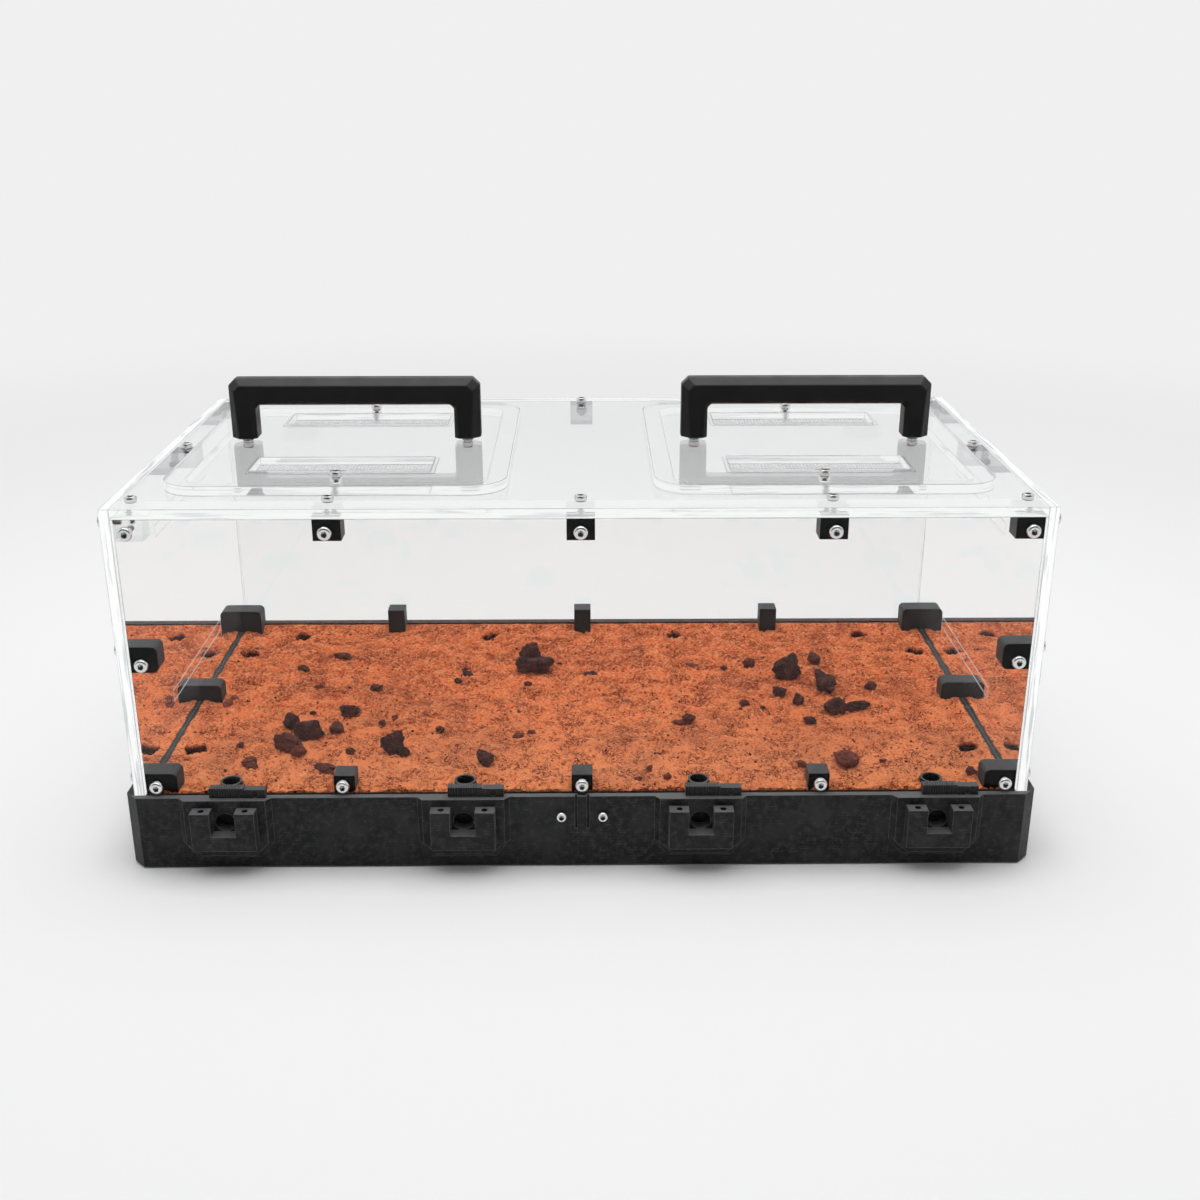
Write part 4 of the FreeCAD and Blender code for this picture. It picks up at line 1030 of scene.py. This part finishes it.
@dataclass
class LavaStones:
    """Stones of all sizes, from grit to a few centimetres, pressed a little into the sand."""

    seed: int = 21
    sunk: float = 0.3
    planes: int = 26
    nearest: float = 0.8  # of the planes' distances, where the furthest is one
    blunt: int = 12  # the higher, the sharper the edges between the planes
    lumps: tuple = ((0.075, 1.1), (0.05, 0.5))  # height and size, in shares of the stone's reach
    grit: tuple = (0.03, 0.24)
    bubbles: tuple = (0.08, 0.34)
    bubble_from: float = 0.8
    waves: int = 16
    dust_reach: float = 1.6 * MM
    # x, y, half length, half width, height in millimetres, turn in degrees, kind
    large: tuple = (
        (-29, 39, 12.4, 8.5, 10, 0, DARK), (-31, 43, 7.6, 6, 17.5, 10, DARK),
        (-101, -68, 7.2, 6.5, 13, 20, DARK), (-95, -73, 3.4, 3, 5, 0, DARK),
        (-161, -39, 5.2, 4.6, 10, 0, DARK), (-149, -52, 8.8, 5.2, 11, 18, DARK),
        (-158, -65, 9.8, 5.6, 9, -28, BROWN), (-151, -71, 4.6, 3.4, 5.5, 0, RED),
        (-135, -45, 4.2, 5, 7, -15, BROWN), (-131, -22, 6.2, 4, 6, 10, DARK),
        (-134, -90, 6.8, 3.6, 4.5, -22, BROWN), (-175, -83, 4.4, 3, 4, 20, RED),
        (-172, -88, 3.6, 3, 3.4, 0, RED), (-51, -83, 4.7, 4.6, 7.5, 30, BROWN),
        (123, 27, 10.6, 7.5, 14.5, 5, DARK), (142.5, 48, 4.4, 4.2, 8, 0, BROWN),
        (143, 10, 6, 13, 11, 8, DARK), (144, -22, 7.2, 5, 9, -10, DARK),
        (156, -19, 8.2, 3.4, 6.5, 14, DARK), (139, -87, 8, 6, 8.5, -25, RED),
        (127, -36, 4.6, 3.4, 4.5, -50, DARK), (170, 9, 4.3, 4.6, 5.5, -10, BROWN),
        (115, 1, 4.5, 3.8, 6.5, 0, DARK), (124, -11, 3.8, 3.8, 6.5, 0, DARK),
        (102, 43, 3.8, 4.6, 6.5, -35, BROWN), (5, 29, 5, 3, 3.6, 10, BROWN),
        (59, -34, 4, 3.4, 5.4, 20, BROWN), (53, -36, 4.4, 1.8, 2.2, 8, RED),
        (201, -98, 3.8, 3.2, 4.6, 0, BROWN), (-148, 59, 6.5, 3.4, 3.4, -8, BROWN),
        (-121, 11, 4.2, 2.6, 3.4, 14, BROWN), (-169, 38, 4.2, 3.4, 4.6, 0, BROWN),
        (-203, -9, 3.6, 2.8, 3.4, 20, PINK), (-201, -2, 2.8, 2.4, 3, 0, PINK),
        (-69, 29, 3.9, 2.8, 3.8, 15, DARK), (-74, 21, 3.2, 2.4, 2.8, 0, DARK),
        (-71, 38, 2.4, 1.7, 2.2, 0, DARK), (66, 46, 3.4, 2, 1.4, 0, RED),
    )
    small: tuple = (
        (-124, -71, 3.3, 2.6, 3.4, 20, BROWN), (-111, -36, 2.6, 3, 3.8, 0, BROWN),
        (-105, -29, 2.4, 2.8, 2.8, 0, RED), (-78, -45, 2.9, 2.5, 3.4, 0, DARK),
        (-35, -53, 3.7, 2.5, 3.2, 35, RED), (-28, -48, 2.8, 2.2, 2.8, 0, RED),
        (-37, -22, 2.9, 1.7, 2, 0, BROWN), (-32, 16, 2.5, 2.5, 3, 0, BROWN),
        (-155, 14, 3.4, 2, 2.2, 10, BROWN), (-14, 47, 2, 1.2, 1.6, 0, DARK),
        (-184, -62, 2.2, 2.2, 2.6, 0, DARK), (-152, -22, 2.3, 1.6, 2.2, 0, DARK),
        (93, -13, 3.2, 2.6, 3.6, 0, BROWN), (90, -21, 2.3, 2, 2.6, 0, RED),
        (103, -18, 1.8, 1.6, 2.2, 0, BROWN), (86, 38, 2.5, 2.8, 3.4, -20, DARK),
        (26, -9, 2, 2.2, 2.2, 0, RED), (40, -75, 2.6, 1.5, 1.8, 0, BROWN),
        (35, -91, 1.9, 1.7, 2.2, 0, BROWN), (29, -103, 2.9, 1.8, 2.4, 10, RED),
        (44, -101, 2.4, 2, 3, 40, RED), (115, -88, 3.2, 2.6, 3.4, -50, RED),
        (159, -83, 2.6, 1.6, 1.6, 0, RED), (69, 44, 2, 1.4, 1.4, 0, RED),
    )

    def knobs(self, way: np.ndarray, size: float, rng: np.random.Generator) -> np.ndarray:
        """Random bumps over a ball with a spread of one: a sum of plane waves in random directions.

        Args:
            way: the directions on the ball.
            size: the bumps' size, in the ball's radii.
            rng: the random draws.

        Returns:
            The bumps' height in each direction.
        """
        heads = rng.standard_normal((self.waves, 3))
        heads /= np.linalg.norm(heads, axis=1)[:, None]
        phase = rng.uniform(0, 2 * math.pi, self.waves)
        return np.sin(way @ heads.T * (2 * math.pi / size) + phase).sum(-1) / math.sqrt(self.waves / 2)

    def shape(self, half: np.ndarray, turn: float, rng: np.random.Generator, around: int) -> Surface:
        """One stone about its own middle.

        In each direction of a ball, random planes cut it off. The reach is a soft
        least of the planes' distances, so that their edges are broken. Knobs of three sizes
        and a few bubbles are added along the direction.

        Args:
            half: half its length, width and height.
            turn: its turn about the upright, in degrees.
            rng: the random draws.
            around: how many points go round it.

        Returns:
            The stone's closed surface.
        """
        rows = around * 2 // 3
        tilt = (np.arange(rows) + 0.5) / rows * math.pi
        level, reach = -np.cos(tilt)[:, None], np.sin(tilt)[:, None]
        ring = circle(around)
        way = np.stack([reach * ring[:, 0], reach * ring[:, 1], level + 0 * ring[:, 0]], -1)
        planes = rng.standard_normal((self.planes, 3))
        planes /= np.linalg.norm(planes, axis=1)[:, None]
        distance = rng.uniform(self.nearest, 1.0, self.planes)
        facing = np.clip(way @ planes.T, 0.02, None) / distance
        out = ((facing**self.blunt).sum(-1)) ** (-1 / self.blunt)
        out *= sum((height * self.knobs(way, size, rng) for height, size in self.lumps), 1)
        height, size = self.grit
        out += height * self.knobs(way, size, rng)
        height, size = self.bubbles
        out -= height * np.clip(self.knobs(way, size, rng) - self.bubble_from, 0, 1)
        points = way * out[..., None]
        points *= half / np.abs(points).max(axis=(0, 1))
        cosine, sine = math.cos(math.radians(turn)), math.sin(math.radians(turn))
        spin = np.array([[cosine, sine, 0], [-sine, cosine, 0], [0, 0, 1]])
        return Surface.rings(points @ spin)

    def build(self, finish: Material) -> None:
        """Makes every stone and joins them into one piece.

        Args:
            finish: the stones' material.
        """
        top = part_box("lava_stones")[0].z
        rng = np.random.default_rng(self.seed)
        parts = []
        for stones, around in ((self.large, 36), (self.small, 18)):
            for x, y, length, width, height, turn, kind in stones:
                tall = height * (1 + self.sunk) / 2
                stone = self.shape(np.array([length, width, tall]) * MM, turn, rng, around)
                part = stone.placed(np.array([x * MM, y * MM, top + (height - tall) * MM]), np.eye(3))
                low = np.clip(1 - (part.points[:, 2] - top) / self.dust_reach, 0, 1)
                part.mark = np.clip(kind.value + 0.4 * low + rng.uniform(-0.05, 0.05), 0, 1)
                parts.append(part)
        piece = Surface.joined(parts).piece("lava_stones_broken", finish, sharp=50, mark="paled")
        add(piece, "enclosure", "lava_rock", "lava_stones")


# ---- the clear case ----


@dataclass
class ClearCase:
    """The acrylic walls and roof, with the blocks that hold them at the top."""

    side_sheets: tuple[str, ...] = ("left_panel", "right_panel")
    black_blocks: tuple[str, ...] = (
        "roof_clip_front_left", "roof_clip_front_centre", "roof_clip_front_right",
        "mid_clip_left", "mid_clip_right", "roof_corner_front_right",
    )
    clear_blocks: tuple[str, ...] = ("roof_corner_front_left",)
    cloudy_blocks: tuple[str, ...] = (
        "roof_clip_back", "roof_corner_back_left", "roof_corner_back_right",
        "roof_clip_side_left", "roof_clip_side_right",
    )
    front_ior: float = 1.2  # less than acrylic's 1.49, for the low gloss of a sheet lit from behind
    # the y from which the roof's front rim gets a painted glow
    rim_from: float = -104 * MM

    def dress(self, side: Material, black: Material) -> None:
        """Clear sheets, black blocks in front and clear or cloudy blocks elsewhere.

        Args:
            side: the side sheets' material.
            black: the black blocks' material.
        """
        sheets = (
            # the back sheet's painted glow is paler, and its edges also glow seen from inside
            ("back_panel", CastAcrylic(
                "cast_acrylic_back", trapped=5, tint="F7F8F8", inside="FBFCFC", thin=1, edge_within=0.75,
            )),
            ("front_panel", CastAcrylic("cast_acrylic_front", ior=self.front_ior, thin=1, edge_share=0.5)),
            ("roof_panel", CastAcrylic("cast_acrylic_roof", rim_from=self.rim_from, edge_share=0.5)),
        )
        for name, sheet in sheets:
            dress((name,), sheet.material())
        dress(self.side_sheets, side)
        dress(self.black_blocks, black)
        clear = ClearPetg("clear_printed_petg", grey="F2F3F3", body=0.015)
        cloudy = ClearPetg("cloudy_printed_petg", clear="DFE1E2", grey="B6B9BB")
        dress(self.clear_blocks, clear.material())
        dress(self.cloudy_blocks, cloudy.material())


@dataclass
class CapScrews:
    """Cap screws with a hexagonal socket, rebuilt on the places that the solids give."""

    head_radius: float = 3.4 * MM
    upper_head_radius: float = 3.0 * MM
    small_head_radius: float = 2.7 * MM
    head_height: float = 3.0 * MM
    shank_radius: float = 1.5 * MM
    sheet_shank_radius: float = 2.1 * MM  # fills its hole in the sheet, so that it shows through
    sheet: float = 5 * MM
    thread_pitch: float = 0.5 * MM
    thread_depth: float = 0.2 * MM
    seen_pitch: float = 1.6 * MM  # coarser than the real 0.5 mm, which is under a pixel
    seen_depth: float = 0.6 * MM
    key_reach: float = 1.3 * MM
    key_depth: float = 1.6 * MM
    # painted shade in the socket and, below, at the head's seat
    socket_dark: float = 0.6
    socket_rings: int = 3
    seat_dark: float = 0.8
    around: int = 24
    shank_around: int = 12
    # painted shade on the thread: its crests and, darker, its roots
    crest_dark: float = 0.45
    root_dark: float = 1.0
    tip_taper: float = 0.4 * MM
    shank_reach: float = 2 * MM  # points further out than this belong to the head
    seed: int = 4
    sets: tuple[tuple[str, str], ...] = (
        ("front_panel_screws", "enclosure"), ("back_panel_screws", "enclosure"),
        ("side_panel_screws", "enclosure"), ("roof_panel_screws", "enclosure"),
        ("tray_screws", "enclosure"), ("lid_left_screws", "lid_left"), ("lid_right_screws", "lid_right"),
    )
    seen_through: tuple[str, ...] = ("roof_panel_screws", "lid_left_screws", "lid_right_screws")

    def head(self, wide: float) -> Surface:
        """A drum with a rounded rim: rings from its seat up the side, over the face and down the socket.

        Args:
            wide: its radius.

        Returns:
            The head along z, with its seat at the origin.
        """
        drum, key = circle(self.around), hexagon(self.around)
        tall, floor = self.head_height, self.head_height - self.key_depth
        profile = (
            (drum, wide * 0.9, 0.0), (drum, wide * 0.98, 0.25 * MM), (drum, wide, 0.5 * MM),
            (drum, wide, tall * 0.66), (drum, wide * 0.95, tall * 0.84), (drum, wide * 0.84, tall * 0.96),
            (drum, wide * 0.7, tall), (drum, self.key_reach * 1.25, tall),
            (key, self.key_reach, tall - 0.12 * MM), (key, self.key_reach * 0.99, tall - 0.3 * MM),
            (key, self.key_reach * 0.98, floor), (drum, 0.2 * MM, floor - 0.5 * MM),
        )
        made = turned(profile)
        shade = np.zeros(len(profile))
        shade[-self.socket_rings :] = self.socket_dark
        shade[0] = self.seat_dark
        made.mark = np.repeat(shade, self.around)
        return made

    def shank(self, length: float, wide: float, seen: bool) -> Surface:
        """A threaded shank: rings whose radius steps between crest and root every half pitch.

        Args:
            length: from under the head to the tip.
            wide: its radius where it passes the sheet.
            seen: whether it shows through a clear sheet, so that its thread is drawn coarser.

        Returns:
            The shank along z, with the head's seat at the origin.
        """
        pitch, depth = self.thread_pitch, self.thread_depth
        if seen:
            pitch, depth = self.seen_pitch, self.seen_depth
        levels = np.arange(-length, 0, pitch / 2)
        crest = np.arange(len(levels)) % 2 == 0
        radius = np.where(levels > -self.sheet, wide, self.shank_radius)
        radius = np.where(crest, radius, radius - depth)
        radius[0] = self.shank_radius - self.tip_taper
        ring = circle(self.shank_around)
        made = turned([(ring, r, z) for r, z in zip(radius, levels)] + [(ring, wide, 0.05 * MM)])
        shade = np.append(np.where(crest, self.crest_dark, self.root_dark), self.crest_dark)
        made.mark = np.repeat(shade, self.shank_around)
        return made

    def seats(self, name: str) -> list[tuple[np.ndarray, np.ndarray, float]]:
        """Where each screw of a node sits: its seat, the direction of its head and its shank's length.

        Args:
            name: the node's name.

        Returns:
            The seat, direction and length for each screw.
        """
        found = []
        for points in separate_solids(name):
            low, high = points.min(0), points.max(0)
            axis = int(np.argmax(high - low))
            middle = (low + high) / 2
            off = points - middle
            off[:, axis] = 0
            head = points[np.linalg.norm(off, axis=1) > self.shank_reach][:, axis].mean()
            out = np.zeros(3)
            out[axis] = 1.0 if head > middle[axis] else -1.0
            seat = middle.copy()
            seat[axis] = (high if out[axis] > 0 else low)[axis] - out[axis] * self.head_height
            found.append((seat, out, float((high - low)[axis]) - self.head_height))
        return found

    def build(self, finish: Material) -> None:
        """Makes each set of screws as one piece that stands for its node.

        Args:
            finish: the screws' material.
        """
        rng = np.random.default_rng(self.seed)
        for name, body in self.sets:
            reach, wide, seen = self.head_radius, self.shank_radius, name in self.seen_through
            if seen:
                reach, wide = self.upper_head_radius, self.sheet_shank_radius
            elif name == "tray_screws":
                reach = self.small_head_radius
            head = self.head(reach)
            parts = []
            for seat, out, length in self.seats(name):
                across = np.roll(out, 1)
                angle = rng.uniform(0, 2 * math.pi)
                side = np.cross(out, across)
                first = across * math.cos(angle) + side * math.sin(angle)
                axes = np.stack([first, np.cross(out, first), out])
                parts += [head.placed(seat, axes), self.shank(length, wide, seen).placed(seat, axes)]
            add(Surface.joined(parts).piece(f"{name}_turned", finish, sharp=30), body, "steel", name)


# ---- lids ----


@dataclass
class Lid:
    """One lid: its plate, two vents of woven wire, its handle, spacers and screws."""

    side: str
    top_bevel: float = 4.6 * MM
    under_bevel: float = 2.4 * MM
    end_bevel: float = 3.8 * MM
    section: float = 15 * MM
    leg_width: float = 14 * MM
    bar_height: float = 13.9 * MM
    inner_bevel: float = 2 * MM
    wire: float = 0.2 * MM
    wire_flat: float = 1.8  # rolled this much wider than it is thick
    mesh_pitch: float = 1.8 * MM
    wire_sides: int = 4
    rounding: float = 0.55 * MM
    rounded_from: float = 20.0  # degrees that an edge has to turn by to be rounded
    air_gap: float = 0.04 * MM

    @property
    def body(self) -> str:
        """The body that everything on this lid rides on."""
        return f"lid_{self.side}"

    def handle_rings(self) -> np.ndarray:
        """The handle's section carried along its upside-down U.

        Each station has an inner and an outer point in the plane of the U. The section runs
        round an oblong between them whose long edges are bevelled.

        Returns:
            Stations by eight section points by three.
        """
        low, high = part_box(f"lid_{self.side}_handle")
        half = (high.x - low.x) / 2
        leg, rise, cut = half - self.leg_width, high.z - low.z, self.end_bevel
        under, nick = rise - self.bar_height, self.inner_bevel
        inner = np.array([
            (-leg, 0), (-leg, under - nick), (-leg + nick, under),
            (leg - nick, under), (leg, under - nick), (leg, 0),
        ])
        outer = np.array([
            (-half, 0), (-half, rise - cut), (-half + cut, rise),
            (half - cut, rise), (half, rise - cut), (half, 0),
        ])
        span = np.linalg.norm(outer - inner, axis=1)[:, None]
        way = (outer - inner) / span
        wide = self.section / 2
        top, low_cut = self.top_bevel, self.under_bevel
        near = [0.0, 0.0, low_cut, -top, 0.0, 0.0, -top, low_cut]
        end = [0, 0, 0, 1, 1, 1, 1, 0]
        depth = [low_cut - wide, wide - low_cut, wide, wide, wide - top, top - wide, -wide, -wide]
        rows = []
        for shift, at_outer, y in zip(near, end, depth):
            spot = np.where(at_outer, outer, inner) + way * shift
            rows.append(np.stack([spot[:, 0], np.full(len(spot), y), spot[:, 1]], -1))
        rings = np.stack(rows, axis=1)
        return rings + np.array([(low.x + high.x) / 2, (low.y + high.y) / 2, low.z])

    def build_handle(self, finish: Material) -> None:
        """Makes the handle, with its edges rounded.

        Args:
            finish: the handle's material.
        """
        handle = Surface.rings(self.handle_rings())
        piece = handle.piece(f"lid_{self.side}_handle_rounded", finish, sharp=30)
        soft = piece.modifiers.new("rounding", "BEVEL")
        soft.width = self.rounding
        soft.segments = 2
        soft.limit_method = "ANGLE"
        soft.angle_limit = math.radians(self.rounded_from)
        add(piece, self.body, "handle_print", f"lid_{self.side}_handle")

    def wires(self, low: np.ndarray, high: np.ndarray, along: int) -> list[Surface]:
        """The wires of one direction, each a small square tube that rises and dips over the others.

        Args:
            low: the mesh's lowest corner.
            high: its highest corner.
            along: 0 for wires that run along x, 1 along y.

        Returns:
            One closed surface for each wire.
        """
        across = 1 - along
        count = int((high[across] - low[across]) / self.mesh_pitch)
        steps = int((high[along] - low[along]) / self.mesh_pitch)
        places = low[across] + (np.arange(count) + 0.5) * (high[across] - low[across]) / count
        path = np.linspace(low[along] + self.wire, high[along] - self.wire, steps)
        ring = circle(self.wire_sides, math.pi / 4) * self.wire
        upright = -1 if along else 1  # keeps the faces outwards in both directions
        made = []
        for index, place in enumerate(places):
            wave = np.where((np.arange(steps) + index + along) % 2, 1.0, -1.0) * self.wire * 0.5
            rows = np.zeros((steps, self.wire_sides, 3))
            rows[..., along] = path[:, None]
            rows[..., across] = place + ring[:, 0] * self.wire_flat
            rows[..., 2] = (low[2] + high[2]) / 2 + wave[:, None] + ring[:, 1] * upright
            made.append(Surface.rings(rows))
        return made

    def build_vents(self, finish: Material) -> None:
        """Weaves the wire in both vents.

        Args:
            finish: the wire's material.
        """
        parts = []
        for points in separate_solids(f"lid_{self.side}_vents"):
            low, high = points.min(0), points.max(0)
            parts += self.wires(low, high, 0) + self.wires(low, high, 1)
        piece = Surface.joined(parts).piece(f"lid_{self.side}_vents_woven", finish, sharp=60)
        add(piece, self.body, "steel_mesh", f"lid_{self.side}_vents")

    def dress(self, sheet: Material, metal: Material) -> None:
        """Clear acrylic for the plate and steel for the spacers.

        The plate's skin is drawn in by a hair, because light would be caught between two sheets
        whose faces lie in one plane.

        Args:
            sheet: the plate's material.
            metal: the spacers' material.
        """
        plate = f"lid_{self.side}_plate"
        dress((plate,), sheet)
        loose = bpy.data.objects[plate].modifiers.new("air gap", "DISPLACE")
        loose.mid_level = 0.0
        loose.strength = -self.air_gap
        dress((f"lid_{self.side}_spacers",), metal)


# ---- studio ----


@dataclass
class Studio:
    """The pale floor, the soft light and the camera."""

    floor_reach: float = 9.0
    floor_drop: float = 0.05 * MM
    lens: float = 42.33
    eye: Point = (0.0022, -0.7487, 0.382)
    pitch: float = 69.28
    roll: float = -0.62
    sky: float = 0.6
    # the range of a direction's z or y, and the brightness at its two ends
    sky_rise: tuple = (0, 0.8, 0.55, 1.1)
    sky_front: tuple = (-0.9, 0.1, 0.55, 1.0)
    mirrored_sky: tuple = (-0.85, -0.15, 0.06, 1.0)
    lamp_power: float = 12.8
    strip_power: float = 3.4
    strip_size: tuple[float, float] = (1.6, 0.35)
    strip_place: Point = (0.0, -0.5, 1.5)
    lamp_size: tuple[float, float] = (1.8, 1.0)
    lamp_place: Point = (0.0, 0.25, 1.5)
    surround: str = StudioPaper.surround
    floor_sides: int = 64

    def build_floor(self, paper: Material) -> None:
        """A wide round floor just under the tray's feet.

        Args:
            paper: the floor's material.
        """
        ring = circle(self.floor_sides) * self.floor_reach
        points = np.concatenate([ring, np.full((self.floor_sides, 1), -self.floor_drop)], -1)
        disc = Surface(points, [list(range(self.floor_sides))])
        floor = disc.piece("studio_floor", paper, sharp=None)

    def build_world(self) -> None:
        """White light, dimmer low down and towards the camera's side, in a surround of its own colour."""
        world = bpy.data.worlds.new("studio_surround")
        world.use_nodes = True
        world.node_tree.nodes.clear()
        node = partial(add_node, world.node_tree)
        heading = node("SeparateXYZ", [node("TexCoord").outputs["Generated"]]).outputs
        rise = node("MapRange", [heading["Z"], *self.sky_rise])
        front = node("MapRange", [heading["Y"], *self.sky_front])
        level = node("Math", [rise, front], operation="MULTIPLY")
        strength = node("Math", [level, self.sky], operation="MULTIPLY")
        lit = node("Background", ["FFFFFF", strength])
        mirrored = node("MapRange", [heading["Y"], *self.mirrored_sky], interpolation_type="SMOOTHSTEP")
        direct = node("LightPath").outputs["Is Camera Ray"]
        plain = node("Math", [mirrored, direct], operation="MAXIMUM")
        seen = node("Background", [self.surround, plain])
        node("OutputWorld", [node("MixShader", [sight(node), lit, seen])])
        bpy.context.scene.world = world

    def build_lamp(self, name: str, power: float, size: tuple[float, float], place: Point) -> None:
        """A softbox overhead.

        Args:
            name: its name.
            power: its power in watts.
            size: its length and depth.
            place: where its middle is. It shines straight down.
        """
        lamp = bpy.data.lights.new(name, "AREA")
        lamp.shape = "RECTANGLE"
        lamp.size, lamp.size_y = size
        lamp.energy = power
        thing = bpy.data.objects.new(name, lamp)
        thing.location = place
        bpy.context.scene.collection.objects.link(thing)

    def build_camera(self) -> None:
        """The camera, in front of the object and above it."""
        lens = bpy.data.cameras.new("front_camera")
        lens.lens = self.lens
        lens.clip_end = 50
        camera = bpy.data.objects.new("front_camera", lens)
        camera.location = self.eye
        camera.rotation_euler = (math.radians(self.pitch), 0.0, math.radians(self.roll))
        bpy.context.scene.collection.objects.link(camera)
        bpy.context.scene.camera = camera

    def build(self, paper: Material) -> None:
        """Sets up everything that isn't part of the object.

        Args:
            paper: the floor's material.
        """
        self.build_floor(paper)
        self.build_world()
        self.build_lamp("softbox_overhead", self.lamp_power, self.lamp_size, self.lamp_place)
        self.build_lamp("softbox_strip", self.strip_power, self.strip_size, self.strip_place)
        self.build_camera()
        bpy.context.scene.view_settings.view_transform = "Standard"


def main() -> None:
    """Builds and dresses the habitat, part by part."""
    black = PrintedPetg("black_printed_petg").material()
    lid_sheet = CastAcrylic(
        "cast_acrylic_lid", edge_glow="FAFBFB", edge_shade="DDE0E1", edge_share=0.45
    ).material()
    side_sheet = CastAcrylic(
        "cast_acrylic_side", trapped=5, thin=0, mirror=0.97, channels=(111.0, 46.5, 3.0, 52.0)
    ).material()
    steel = Steel("stainless_steel_turned").material()
    wire = Steel("stainless_wire_woven", colour="ECECEE", roughness=0.3, metallic=0.6).material()
    satin = Steel("stainless_steel_satin", colour="8C8C8E", roughness=0.22).material()
    nylon = MouldedNylon("black_nylon_moulded").material()

    Tray().dress(black)
    SandBed().build(RedSand("red_sand_crumbly").material())
    LavaStones().build(LavaRock("lava_rock_broken").material())
    ClearCase().dress(side_sheet, black)
    CapScrews().build(steel)
    for side in ("left", "right"):
        lid = Lid(side)
        lid.build_handle(nylon)
        lid.build_vents(wire)
        lid.dress(lid_sheet, satin)
    Studio().build(StudioPaper("white_seamless_paper").material())


if __name__ == "__main__":
    logging.basicConfig(level=logging.INFO, format="%(message)s")
    main()
